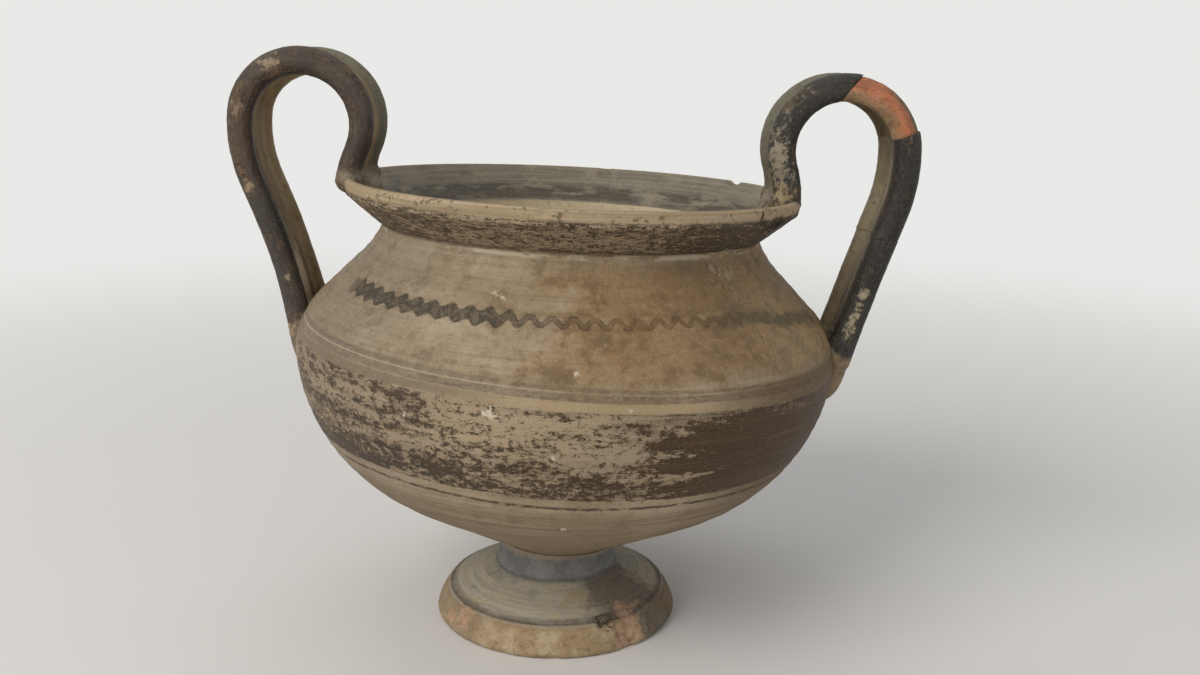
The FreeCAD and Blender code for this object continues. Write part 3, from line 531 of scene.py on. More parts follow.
# The handles
def handle_path(shape, step=0.7):
    """Middle line of a strap in the bowl frame's XZ plane: points, outward normals and distance."""
    centre = (shape["reach"], shape["height"])
    knee_centre = polar(centre, -(shape["arch"] + shape["knee"]), shape["knee_turn"])
    bend_centre = polar(centre, shape["arch"] - shape["bend"], shape["end_turn"])
    arm_top = polar(bend_centre, shape["bend"], -shape["arm"])
    arm_curve = (arm_top[1] - BELLY_HEIGHT) / (sind(shape["arm"]) - sind(shape["root"]))
    arm_centre = polar(arm_top, arm_curve, -shape["arm"])
    knee_x = knee_centre[0] + shape["knee"]
    points = chain(
        run((knee_x, STRAP_FOOT), (knee_x, knee_centre[1]), step),
        arc(knee_centre, shape["knee"], 0, shape["knee_turn"], step),
        arc(centre, shape["arch"], 180 + shape["knee_turn"], shape["end_turn"], step),
        arc(bend_centre, shape["bend"], shape["end_turn"], -shape["arm"], step),
        arc(arm_centre, arm_curve, 180 - shape["arm"], 180 - shape["root"], step),
    )
    normals = []
    for a, b in zip([points[0]] + points[:-1], points[1:] + [points[-1]]):
        length = math.hypot(b[0] - a[0], b[1] - a[1])
        normals.append((-(b[1] - a[1]) / length, (b[0] - a[0]) / length))
    return points, normals, runs_along(points)


def strap_section(roll, across, thickness, roll_count=14, web_count=8):
    """The closed outline of a strap across its width: two rolls and the hollowed web between them."""
    spots = []
    join = math.asin(min(0.95, thickness / 2 / roll))
    half = across - roll * math.cos(join)
    for side, start in ((-1, join), (1, math.pi + join)):
        for k in range(roll_count + 1):
            angle = start + (2 * math.pi - 2 * join) * k / roll_count
            spots.append((side * across + roll * math.cos(angle), roll * math.sin(angle)))
        for k in range(1, web_count):
            share = k / web_count
            sag = 1 - 0.35 * math.sin(math.pi * share)
            spots.append((side * (half - 2 * half * share), side * thickness / 2 * sag))
    return spots


def strap_shell(shape, start, end, swell, start_slant=0.0, end_slant=0.0, ring_step=0.8):
    """Vertices and faces of one length of a strap, in the bowl frame."""
    points, normals, distance = handle_path(shape)
    total = distance[-1]
    count = max(4, int((end - start) * total / ring_step))
    vertices = []
    for n in range(count + 1):
        share = n / count
        station = (start + (end - start) * share) * total
        roll, inward, across = swell(station / total)
        section = strap_section(roll, across, WEB_THICKNESS)
        for y, out in section:
            slant = start_slant * out * (1 - share) ** 4 + end_slant * out * share ** 4
            here = min(max(station + slant, 0.0), total - 1e-6)
            k = min(int(np.searchsorted(distance, here, side="right")) - 1, len(points) - 2)
            t = (here - distance[k]) / (distance[k + 1] - distance[k])
            px, pz = (a + (b - a) * t for a, b in zip(points[k], points[k + 1]))
            nx, nz = (a + (b - a) * t for a, b in zip(normals[k], normals[k + 1]))
            reach = out - inward
            vertices.append(Vector((shape["side"] * (px + nx * reach), STRAP_PLANE + y, pz + nz * reach)))
    size = len(section)
    faces = grid_faces(count + 1, size)
    faces.append(tuple(reversed(range(size))))
    faces.append(tuple(count * size + k for k in range(size)))
    return vertices, faces


def lump_shell(centre, radii, tilt=0.0):
    """Vertices and faces of an egg-shaped lump of clay, in the bowl frame."""
    turn = turn_matrix("Y", tilt).to_3x3()
    shell = bmesh.new()
    bmesh.ops.create_icosphere(shell, subdivisions=4, radius=1.0)
    vertices = [Vector(centre) + turn @ Vector([a * radius for a, radius in zip(v.co, radii)]) for v in shell.verts]
    faces = [tuple(v.index for v in f.verts) for f in shell.faces]
    shell.free()
    return vertices, faces


def fuse(name, shells, smooth):
    """One skin round several closed shells, in the bowl frame's millimetres."""
    vertices = []
    faces = []
    for shell_vertices, shell_faces in shells:
        base = len(vertices)
        vertices += shell_vertices
        faces += [tuple(base + k for k in face) for face in shell_faces]
    rough = mesh_object(name + "_rough", vertices, faces)
    bm = bmesh.new()
    bm.from_mesh(rough.data)
    bmesh.ops.recalc_face_normals(bm, faces=bm.faces)
    bm.to_mesh(rough.data)
    bm.free()
    remesh = rough.modifiers.new("skin", "REMESH")
    remesh.mode = "VOXEL"
    remesh.voxel_size = VOXEL * METRE
    ease = rough.modifiers.new("ease", "SMOOTH")
    ease.factor = 0.6
    ease.iterations = smooth
    bpy.context.view_layer.update()
    skin = bpy.data.meshes.new_from_object(rough.evaluated_get(bpy.context.evaluated_depsgraph_get()))
    bpy.data.objects.remove(rough)
    return skin


def strap_measures(places, shape, block=4000):
    """How far along a strap's middle line each place lies, and how far out from the loop, block by block."""
    points, normals, distance = (np.array(item) for item in handle_path(shape))
    flat = places[:, (0, 2)] * (shape["side"], 1)
    along = np.empty(len(flat))
    out = np.empty(len(flat))
    for start in range(0, len(flat), block):
        gap = flat[start:start + block, None] - points[None]
        nearest = np.argmin((gap ** 2).sum(axis=2), axis=1)
        own = gap[np.arange(len(nearest)), nearest]
        along[start:start + block] = distance[nearest]
        out[start:start + block] = (own * normals[nearest]).sum(axis=1)
    return along, out


def finish_handle(name, skin, shape, lumpy, seed):
    """Roughens a fused handle, keeps its ends inside the wall and sets it in the row frame."""
    count = len(skin.vertices)
    places = np.empty(count * 3)
    normals = np.empty(count * 3)
    skin.vertices.foreach_get("co", places)
    skin.vertex_normals.foreach_get("vector", normals)
    places = places.reshape(-1, 3) / METRE
    normals = normals.reshape(-1, 3)
    for k in range(count):
        here = Vector(places[k])
        slow = noise.noise(here * 0.13 + Vector((seed, 0, 0)))
        fine = noise.noise(here * 0.6 + Vector((0, seed, 0)))
        pits = noise.noise(here * 1.3 + Vector((0, 0, seed)))
        press = lumpy * (0.5 + 0.5 * slow) + 0.07 * fine + 0.25 * max(0.0, pits - 0.45)
        places[k] -= normals[k] * press
    wall = np.array(outer_wall(1.0))
    radius = np.hypot(places[:, 0], places[:, 1])
    limit = np.interp(places[:, 2], wall[:, 1], wall[:, 0]) - SEAT_DEPTH
    deep = (places[:, 2] < NECK_HEIGHT - 2) & (radius < limit)
    places[:, :2] *= np.where(deep, limit / np.maximum(radius, 1e-6), 1.0)[:, None]
    along, out = strap_measures(places, shape)
    row = np.c_[places, np.ones(count)] @ np.array(BOWL_FRAME).T
    skin.vertices.foreach_set("co", (row[:, :3] * METRE).ravel())
    skin.name = name
    skin.polygons.foreach_set("use_smooth", [True] * len(skin.polygons))
    skin.update()
    obj = add_object(name, skin)
    paint(obj, "strap_run", along)
    paint(obj, "strap_out", out)
    return obj


def soft_step(value, low, high):
    t = min(max((value - low) / (high - low), 0.0), 1.0)
    return t * t * (3 - 2 * t)


def left_swell(share):
    """Roll radius, inward shift and half spacing of the left strap along its length."""
    crown = math.exp(-((share - 0.34) / 0.17) ** 2)
    rim = 1 - soft_step(share, 0.0, 0.10)
    root = soft_step(share, 0.82, 1.0)
    roll = LEFT["roll"] + 0.62 * crown + 0.5 * rim + 0.2 * root
    return roll, 0.62 * crown, MARGIN_ACROSS + 1.0 * rim + 1.2 * root - 0.55 * crown


def right_swell(shrink, sink, share):
    """The same of the right strap, for a sherd that sits a little proud of its neighbours or back from them."""
    rim = 1 - soft_step(share, 0.0, 0.10)
    root = soft_step(share, 0.86, 1.0)
    return RIGHT["roll"] + 0.25 * rim + 0.1 * root - shrink, sink, MARGIN_ACROSS + 0.8 * rim + 0.6 * root


def rim_lumps(shape):
    """Clay smeared where a strap meets the lip."""
    side = shape["side"]
    foot_x = handle_path(shape)[0][0][0]
    return [lump_shell((side * (foot_x - 1.8), STRAP_PLANE, 98.9), (5.8, 14.4, 3.0), side * -LIP_SLOPE)] + [
        lump_shell((side * (foot_x - 0.7), STRAP_PLANE + way * 10.2, 100.0), (4.0, 5.2, 3.6)) for way in (-1, 1)]


def root_lumps(shape):
    """Clay drawn down the belly under a strap's end."""
    side = shape["side"]
    end = handle_path(shape)[0][-1]
    reach = end[0] + 0.2 * shape["roll"]
    return [lump_shell((side * (reach - 3.4), STRAP_PLANE, end[1] - 1.5), (5.4, 13.6, 11.5), side * 9.0)] + [
        lump_shell((side * (reach - 1.4), STRAP_PLANE + way * 9.6, end[1] + 0.5), (4.4, 4.2, 9.5), side * 12.0)
        for way in (-1, 1)]


def left_handle():
    shells = [strap_shell(LEFT, STRAP_START, STRAP_END, left_swell)] + rim_lumps(LEFT) + root_lumps(LEFT)
    return finish_handle("left_handle_visual", fuse("left_handle", shells, 3), LEFT, 0.10, 4.0)


def right_handle():
    """The right strap's sherds from lip to belly, each from break to break."""
    starts = [(STRAP_START, 0.0)] + [(share - OVERLAP, slant) for share, slant in RIGHT_BREAKS.values()]
    ends = [(share + OVERLAP, slant) for share, slant in RIGHT_BREAKS.values()] + [(STRAP_END, 0.0)]
    lumps = {"stub": rim_lumps(RIGHT), "lower": root_lumps(RIGHT)}
    pieces = {}
    for (name, sherd), (start, start_slant), (end, end_slant) in zip(RIGHT_SHERDS.items(), starts, ends):
        shrink, sink, lumpy, seed = sherd
        shell = strap_shell(RIGHT, start, end, partial(right_swell, shrink, sink), start_slant, end_slant)
        skin = fuse("right_" + name, [shell] + lumps.get(name, []), 1)
        pieces[name] = finish_handle("right_%s_visual" % name, skin, RIGHT, lumpy, seed)
    return pieces


# Materials
def srgb(text):
    """A linear colour from a hex colour as it is seen."""
    channels = [int(text[k:k + 2], 16) / 255 for k in (1, 3, 5)]
    linear = [c / 12.92 if c <= 0.04045 else ((c + 0.055) / 1.055) ** 2.4 for c in channels]
    return (*linear, 1.0)


class Value:
    """What a node gives at each point of a surface: a number, place, colour or shader."""

    def __init__(self, graph, socket):
        self.graph = graph
        self.socket = socket

    def __add__(self, other):
        return self.graph.math("ADD", self, other)

    def __sub__(self, other):
        return self.graph.math("SUBTRACT", self, other)

    def __rsub__(self, other):
        return self.graph.math("SUBTRACT", other, self)

    def __mul__(self, other):
        return self.graph.math("MULTIPLY", self, other)

    def __truediv__(self, other):
        return self.graph.math("DIVIDE", self, other)

    def __neg__(self):
        return self * -1.0

    def __abs__(self):
        return self.graph.math("ABSOLUTE", self)

    __radd__ = __add__
    __rmul__ = __mul__

    def swing(self, amount):
        """A noise made to swing round 0."""
        return (self - 0.5) * amount

    def fade(self, low, high, to_low=0.0, to_high=1.0):
        """A smooth change from one value to another as this one goes from low to high."""
        ends = {"Value": self, "From Min": low, "From Max": high, "To Min": to_low, "To Max": to_high}
        return self.graph.node("MapRange", ends, interpolation_type="SMOOTHSTEP")

    def band(self, low, high, soft):
        """1 between low and high, with soft edges."""
        return self.fade(low - soft, low + soft) * self.fade(high - soft, high + soft, 1.0, 0.0)

    def mix(self, first, second):
        """From one colour to another as this one goes from 0 to 1."""
        return self.graph.mix(self, first, second)

    def lay(self, *layers):
        """This colour under others, each laid on by the product of its shares."""
        colour = self
        for other, *shares in layers:
            colour = self.graph.mix(reduce(mul, shares), colour, other)
        return colour

    def near(self, centre, radius, rough, core):
        """A ragged patch round a point, for a place."""
        far = self.graph.node("VectorMath", {0: self, 1: tuple(centre)}, "Value", operation="DISTANCE")
        return (far + rough.swing(radius * 5.0)).fade(radius * core, radius, 1.0, 0.0)

    def patches(self, patches, rough, core):
        """Layers of ragged patches, each set where a pixel of the photograph shows it."""
        return [(tint, self.near(photo_point(pixel, depth), size, rough, core), share)
                for pixel, depth, size, tint, share in patches.values()]


class Graph:
    """The nodes of a material or of the world, written as calls."""

    def __init__(self, owner):
        self.owner = owner
        owner.use_nodes = True
        self.tree = owner.node_tree
        self.tree.nodes.clear()

    def node(self, kind, inputs=(), output=0, **settings):
        """A new node's output, with its settings and inputs in place."""
        node = self.tree.nodes.new("ShaderNode" + kind)
        for name, setting in settings.items():
            setattr(node, name, setting)
        for key, value in dict(inputs).items():
            if isinstance(value, Value):
                self.tree.links.new(value.socket, node.inputs[key])
            else:
                node.inputs[key].default_value = srgb(value) if isinstance(value, str) else value
        return Value(self, node.outputs[output]) if node.outputs else node

    def math(self, kind, *values):
        return self.node("Math", enumerate(values), operation=kind)

    def most(self, *values):
        return reduce(partial(self.math, "MAXIMUM"), values)

    def mix(self, share, first, second):
        return self.node("Mix", {0: share, 6: first, 7: second}, 2, data_type="RGBA")

    def noise(self, place, scale=1.0, detail=4.0, roughness=0.62):
        return self.node("TexNoise", {"Vector": place, "Scale": scale, "Detail": detail, "Roughness": roughness}, "Fac")

    def speckle(self, place, coarse, middle, fine, roughness=0.7):
        """Blotches, mottle and grain."""
        return (self.noise(place, coarse, 5.0, 0.65), self.noise(place, middle, 5.0, roughness),
                self.noise(place, fine, 3.0, 0.7))

    def attribute(self, name):
        return self.node("Attribute", output="Fac", attribute_name=name)

    def vector(self, *values):
        return self.node("CombineXYZ", enumerate(values))

    def parts(self, place):
        return [self.node("SeparateXYZ", {0: place}, axis) for axis in range(3)]

    def row_place(self, origin=Vector(), turn=(0.0, 0.0, 0.0)):
        """Row-frame place in millimetres, from an origin and a turn."""
        inputs = {"Vector": self.node("TexCoord", output="Object"), "Location": tuple(origin * METRE),
                  "Rotation": tuple(turn), "Scale": (METRE, METRE, METRE)}
        return self.node("Mapping", inputs, vector_type="TEXTURE")

    def bowl_place(self):
        """Place in the leaned frame of the bowl, in millimetres."""
        return self.row_place(BOWL_PLACE, BOWL_FRAME.to_euler())

    def azimuth(self, x, y):
        return self.math("ARCTAN2", y, x) * (180 / math.pi)

    def radius(self, x, y):
        return self.math("SQRT", x * x + y * y)

    def thrown(self, x, y, run, degrees, height, detail, roughness=0.62):
        """A noise along the wheel, whose blotches are so many degrees long and so many millimetres tall."""
        reach = 180 / math.pi / degrees
        radius = self.radius(x, y)
        wheel = self.vector(x / radius * reach, y / radius * reach, run * (1 / height))
        return self.noise(wheel, 1.0, detail, roughness)

    def seen(self):
        """1 where the camera, a reflection or a view through something looks."""
        return self.most(*[self.node("LightPath", output="Is %s Ray" % kind)
                           for kind in ("Camera", "Glossy", "Transmission")])

    def clay(self, colour, roughness, height, depth, strength, shine=0.25):
        """A rough surface's shader; depth is in metres."""
        normal = self.node("Bump", {"Strength": strength, "Distance": depth, "Height": height})
        return self.node("BsdfPrincipled", {"Base Color": colour, "Roughness": roughness, "Normal": normal,
                                            "Specular IOR Level": shine})

    def finish(self, shader, kind="Material"):
        self.node("Output" + kind, {"Surface": shader})
        return self.owner


# Small losses and deposits on the bowl: azimuth, height and size
BOWL_FLECKS = {
    "shoulder_fleck": (-104.7, 79.8, 1.3), "shoulder_fleck_tail": (-103.2, 79.2, 0.9),
    "band_white_chip": (-101.1, 56.0, 1.5), "band_white_chip_tail": (-99.8, 55.2, 1.0),
    "belly_chip": (-89.4, 46.0, 0.7), "low_chip": (-86.8, 24.1, 0.8), "band_edge_chip": (-86.2, 65.6, 0.7),
    "band_right_chip": (-76.3, 57.8, 0.8), "left_belly_chip": (-118.0, 52.0, 0.9),
    "rear_chip": (62.0, 70.0, 1.3), "rear_low_chip": (110.0, 44.0, 1.2),
}
BOWL_SCUFFS = {
    "pale_scuff": (-41.8, 83.9, 2.6), "pale_scuff_top": (-46.9, 85.9, 1.6), "rear_scuff": (96.0, 80.0, 2.4),
    "neck_deposit": (-99.5, 89.2, 1.3), "neck_deposit_end": (-96.0, 89.0, 1.1),
    "neck_deposit_right": (-41.5, 89.4, 1.3), "neck_deposit_right_end": (-38.0, 89.3, 1.1),
}
BOWL_FLAKES = {
    "sherd_flake": (-33.0, 95.6, 2.2), "sherd_flake_middle": (-28.5, 96.0, 2.6),
    "sherd_flake_right": (-23.5, 96.4, 2.6), "front_flake": (-60.5, 96.6, 1.3), "middle_flake": (-88.0, 97.0, 0.8),
}


def wall_spot(azimuth, height):
    """A point on the outside of the bowl."""
    wall = chain(outer_wall(1.0), lip_wall(1.0))
    wall = wall[:wall.index(max(wall, key=lambda spot: spot[1]))]
    radius = float(np.interp(height, [p[1] for p in wall], [p[0] for p in wall]))
    return (*polar((0, 0), radius, azimuth), height)


def bowl_material(runs):
    """Buff clay with worn bands, a wavy line and a dark lip, painted on the wheel."""
    g = Graph(bpy.data.materials.new("painted_clay"))
    place = g.bowl_place()
    x, y, z = g.parts(place)
    run, inside = g.attribute("profile_run"), g.attribute("inner_side")
    azimuth = g.azimuth(x, y)
    # colours run from the left (-180) over the front's middle (-90) to the right (0), and mirrored behind
    side = abs(azimuth)
    turn = -side
    level = z + x * BAND_TIP[0] + y * BAND_TIP[1]
    thrown = partial(g.thrown, x, y)
    streaks = thrown(run, 50, 1.1, 5.0, 0.7)
    fine_streaks = thrown(run, 12, 0.32, 3.0)
    smear = thrown(run, 7, 7.0, 5.0, 0.7)
    flakes = thrown(run, 1.9, 1.1, 6.0, 0.74)
    clumps = thrown(run, 12, 4.0, 3.0)
    wander = thrown(3.0, 9, 1.0, 2.0) - 0.5
    patches = g.noise(place, 0.05)
    blotches, mottle, grain = g.speckle(place, 0.16, 0.6, 2.2)
    ragged = mottle.swing(1.1) + grain.swing(0.5)
    edge_level = level + wander * 0.5 + ragged
    edge_z = z + wander * 0.6 + ragged

    # bare clay, grimed, and darker to the right partly as painted shade
    orange = ((turn + blotches.swing(60.0)).band(-92.0, -34.0, 12.0)
              * (z + blotches.swing(16.0)).band(63.0, 87.0, 4.0))
    shoulder = z.band(63.0, 89.0, 1.0)
    colour = patches.fade(0.38, 0.62).mix("#a8977e", "#958469").lay(
        ("#7a6850", streaks.fade(0.46, 0.68), 0.5),
        ("#b09d7f", streaks.fade(0.44, 0.30), 0.35),
        ("#7b6f5f", turn.fade(-106.0, -142.0), 0.5),
        ("#87673f", orange, 0.66),
        ("#6d5030", orange, blotches.fade(0.48, 0.64), 0.5),
        # darker and warmer towards the right: clay tone, partly painted shade on the side turned from the light
        ("#6f583b", turn.fade(-54.0, -22.0), 0.6),
        ("#a3865c", shoulder, turn.fade(-46.0, -30.0), blotches.fade(0.64, 0.46), 0.65),
        ("#674e36", shoulder, turn.band(-64.0, -46.0, 6.0), 0.3),
        ("#6b5a43", shoulder, blotches.fade(0.50, 0.66), 0.42),
        ("#5f4e38", mottle.fade(0.53, 0.66), 0.34),
        ("#b3a286", mottle.fade(0.45, 0.34), 0.26),
        ("#64543f", shoulder, smear.fade(0.56, 0.68), 0.45))

    # the upper lines and the reserved line under them
    worn = (flakes * 0.6 + streaks * 0.4).fade(0.40, 0.54, 1.0, 0.45)
    thin_line = edge_level.band(62.85, turn.fade(-120.0, -60.0, 64.1, 63.6), 0.28)
    broad_line = level.band(60.75, 62.45, 0.16)
    warmth = turn.fade(-125.0, -70.0)
    reserved_colour = turn.fade(-88.0, -118.0).mix("#a8926f", "#675847")
    colour = colour.lay(
        (warmth.mix("#62574b", "#61503c"), g.most(thin_line, broad_line), worn, 0.88),
        ("#6d5c46", edge_level.band(62.8, 66.2, 1.2), clumps.fade(0.48, 0.64), 0.4),
        ("#a8987e", level.band(62.52, 62.78, 0.07), turn.fade(-88.0, -104.0), 0.6),
        (reserved_colour, level.band(58.5, 60.55, 0.2), turn.fade(-66.0, -38.0, 0.6, 0.0)),
        ("#59462f", z.fade(62.5, 60.5), turn.fade(-66.0, -42.0), 0.68))

    # the broad band: flaked on the left, sound on the right
    low_edge = turn.fade(-140.0, -55.0, 35.9, 33.9)
    broad = edge_level.fade(58.75, 58.05) * edge_z.fade(low_edge - 0.3, low_edge + 0.3)
    sound = ((turn + clumps.swing(60.0) + streaks.swing(30.0)).fade(-75.0, -58.0)
             * (z + clumps.swing(16.0) + streaks.swing(8.0)).fade(58.0, 52.5))
    back = abs(azimuth - 70.0).fade(92.0, 55.0) * 0.75
    cover = (turn.fade(-98.0, -135.0, 0.24, 0.40) + clumps.swing(1.9) + streaks.swing(0.7)
             + z.fade(47.0, 38.0, 0.0, 0.34) + z.fade(50.0, 56.0, 0.0, -0.10))
    field = flakes * 0.54 + mottle * 0.26 + grain * 0.20
    limit = 0.578 - g.most(cover, sound * 1.35, back) * 0.16
    slip = field.fade(limit - 0.010, limit + 0.020) * broad
    thin = field.fade(limit - 0.055, limit - 0.010) * broad
    # paler on the broad band's front middle: worn clay, lightened further as painted light where the light falls most
    pale = turn.band(-112.0, -80.0, 9.0) * z.band(46.0, 57.0, 3.0)
    dark = warmth.mix("#392f26", "#3f2c17").lay(
        ("#5d4932", streaks.fade(0.48, 0.66), 0.55),
        ("#2f261c", fine_streaks.fade(0.52, 0.66), 0.4))
    hair_lines = level.band(56.6, 58.3, 0.2) * fine_streaks.fade(0.50, 0.60) * turn.fade(-84.0, -70.0)
    colour = colour.lay(
        ("#917f68", broad, 0.6),
        ("#6b5b47", broad, clumps.fade(0.47, 0.60), 0.5),
        ("#b09c7e", broad, pale, 0.36),
        ("#5f503c", thin, 0.75),
        (dark, slip, 0.92),
        ("#4a3b2a", hair_lines, 0.7))

    # the lines under it, and the clay below them
    line = turn.fade(-130.0, -85.0, 33.3, 31.6)
    line_wear = (flakes * 0.6 + clumps * 0.4).fade(0.42, 0.50)
    below = z.fade(31.0, 27.0)
    colour = colour.lay(
        ("#44352a", edge_z.band(line - 0.42, line + 0.42, 0.14), line_wear, 0.88),
        ("#4f3e2b", z.band(34.25, 34.6, 0.10), turn.fade(-120.0, -80.0), line_wear, 0.75),
        (streaks.fade(0.40, 0.62).mix("#8d7b62", "#6b5a43"), below, 0.6),
        ("#5d4c37", below, smear.fade(0.52, 0.66), 0.4))

    # the wavy line between the handles, front and back, a smudged solid band at its far left
    centre = side.fade(50.0, 10.0, 75.2, 70.6) + side.fade(130.0, 151.0, 0.0, 0.6)
    phase = (azimuth + wander * 0.9) * (2 * math.pi / WAVE_PERIOD)
    wave_height = (blotches.swing(0.8) + 1.0) * WAVE_HEIGHT * side.fade(98.0, 108.0, 1.0, 0.62)
    steep = g.math("COSINE", phase) * WAVE_STEEP
    rise = z + ragged * 0.25 - (centre + wave_height * g.math("SINE", phase))
    far_left = side.fade(94.0, 105.0)
    lean = g.math("SQRT", steep * steep + 1.0) * (1.0 - far_left) + far_left * 1.25
    off = abs(rise) / lean
    half = side.fade(94.0, 106.0, 0.52, 1.22) + clumps.swing(0.8)
    within = side.band(12.0, 151.0, 1.0) * (1.0 - inside)
    stroke = off.fade(half - 0.18, half + 0.18, 1.0, 0.0) * within
    hollow = off.fade(0.05, 0.42, 1.0, 0.0) * side.fade(104.0, 90.0)
    strength = (side.fade(84.0, 108.0, 0.84, 0.92) * side.fade(151.0, 146.0, 0.5, 1.0)
                * mottle.fade(0.60, 0.46, side.fade(94.0, 104.0, 0.55, 0.7), 1.0) * hollow.fade(0.0, 1.0, 1.0, 0.62))
    wavy_colour = side.fade(66.0, 106.0).mix("#564028", "#38322a").lay(("#55503f", turn.fade(-52.0, -40.0), 0.8))
    smudged = abs(z - centre).band(-1.0, 1.9, 0.7) * within
    colour = colour.lay(
        ("#6b5234", smudged, side.fade(104.0, 84.0), clumps.fade(0.40, 0.58), 0.42),
        ("#565041", smudged, turn.fade(-60.0, -50.0), clumps.fade(0.38, 0.52), 0.5),
        (wavy_colour, stroke, strength))

    # the lip: dark worn slip under it, bare along its edge, grey within
    neck_edge = wander * 0.9 + (NECK_HEIGHT + 0.7)
    under_zone = edge_z.fade(neck_edge - 0.25, neck_edge + 0.25)
    lip_field = (thrown(run, 2.4, 0.55, 6.0, 0.75) * 0.44 + mottle * 0.24 + clumps * 0.14 + grain * 0.18
                 + turn.fade(-72.0, -45.0, 0.0, 0.06) + turn.fade(-118.0, -135.0, 0.0, 0.02))
    under = lip_field.fade(0.45, 0.52).mix("#9b8970", "#78674f").lay(
        ("#3f352b", lip_field.fade(0.504, 0.526), 0.9),
        ("#a59378", grain.fade(0.42, 0.34), 0.5))
    crease = z.band(NECK_HEIGHT + 0.1, NECK_HEIGHT + 1.4, 0.35)
    deposit = edge_z.band(NECK_HEIGHT - 0.8, NECK_HEIGHT + 0.5, 0.3) * clumps.fade(0.48, 0.56)
    edge = streaks.fade(0.40, 0.62).mix("#ae9a7d", "#948164").lay(
        ("#4f4133", (clumps * 0.4 + mottle * 0.6).fade(0.53, 0.58), 0.7),
        ("#a9987d", mottle.fade(0.44, 0.36), 0.5),
        ("#725f48", run.fade(runs["crest"] - 1.2, runs["crest"]), 0.4))
    ragged_run = run + ragged
    inner = streaks.fade(0.38, 0.62).mix("#807969", "#6a6355").lay(
        ("#91866f", blotches.fade(0.50, 0.64), 0.45),
        ("#4b443a", smear.fade(0.54, 0.66), 0.35),
        ("#8a8170", azimuth.band(145.0, 156.0, 3.0), streaks.fade(0.40, 0.55), 0.6),
        ("#332c24", edge_z.band(91.6, 95.6, 0.6), clumps.fade(0.36, 0.52), 0.72),
        # near-white inside past the neck's bore: pale bare clay, brightened as painted light against the shade inside
        # the neck
        ("#e6d5b4", ragged_run.fade(runs["bore"] - 0.3, runs["bore"] + 0.3), 0.85),
        ("#544b3f", mottle.fade(0.53, 0.64), 0.3))
    colour = colour.lay(
        (under, under_zone),
        ("#3c342c", crease, mottle.fade(0.58, 0.44), 0.6),
        ("#c0b39c", deposit, 0.65),
        (edge, (run + ragged * 1.6).fade(runs["edge"] + 1.0, runs["edge"] + 1.7)),
        (inner, inside, ragged_run.fade(runs["crest"] + 0.2, runs["crest"] + 0.9)))

    # losses and cracks that the photograph shows, and the finest speckle
    for spots, tint, share in ((BOWL_FLECKS, "#c9bda8", 0.85), (BOWL_SCUFFS, "#a69679", 0.7),
                               (BOWL_FLAKES, "#2b241e", 0.88)):
        lost = g.most(*[place.near(wall_spot(degrees, height), size, mottle, 0.3)
                        for degrees, height, size in spots.values()])
        colour = colour.lay((tint, lost, share))

    def crack_line(away, low, high):
        return abs(away).fade(0.05, 0.22, 1.0, 0.0) * z.band(low, high, 0.5)

    crack = z.fade(80.0, 88.5, 0.0, -7.0) + g.noise(g.vector(0.0, 0.0, z), 0.3).swing(5.0) - 43.0
    cracks = g.most(crack_line(azimuth - crack, 65.0, 88.3), crack_line(azimuth + 28.3, 67.4, 71.4))
    lip_crack = abs(azimuth + mottle.swing(3.0) + 39.6).fade(0.25, 0.75, 1.0, 0.0) * z.band(96.6, 100.3, 0.3)
    colour = colour.lay(
        ("#231c16", lip_crack, 0.9),
        ("#b5a68c", cracks, mottle.fade(0.46, 0.54), 0.6),
        ("#44362a", cracks, mottle.fade(0.54, 0.46), 0.7),
        ("#463728", grain.fade(0.57, 0.72), 0.45),
        ("#c0b196", grain.fade(0.42, 0.29), 0.32))
    roughness = slip * -0.12 + grain.swing(0.24) + 0.66
    height = fine_streaks * 0.45 + grain * 0.5 + g.most(slip, under_zone) * 0.15 + cracks * -0.8 + mottle * 0.7
    return g.finish(g.clay(colour, roughness, height, 0.00024, 0.8))


# Bare clay showing at the foot's losses: azimuth, height and size
FOOT_LOSSES = {
    "left_loss": (-138.0, 6.2, 3.4), "far_left_loss": (-150.0, 4.0, 2.2),
    "right_loss": (-48.0, 7.8, 4.4), "right_middle_loss": (-50.0, 5.0, 4.4), "right_far_loss": (-44.0, 5.6, 3.8),
    "right_low_loss": (-53.0, 3.2, 2.4), "rear_loss": (70.0, 4.5, 3.0),
}


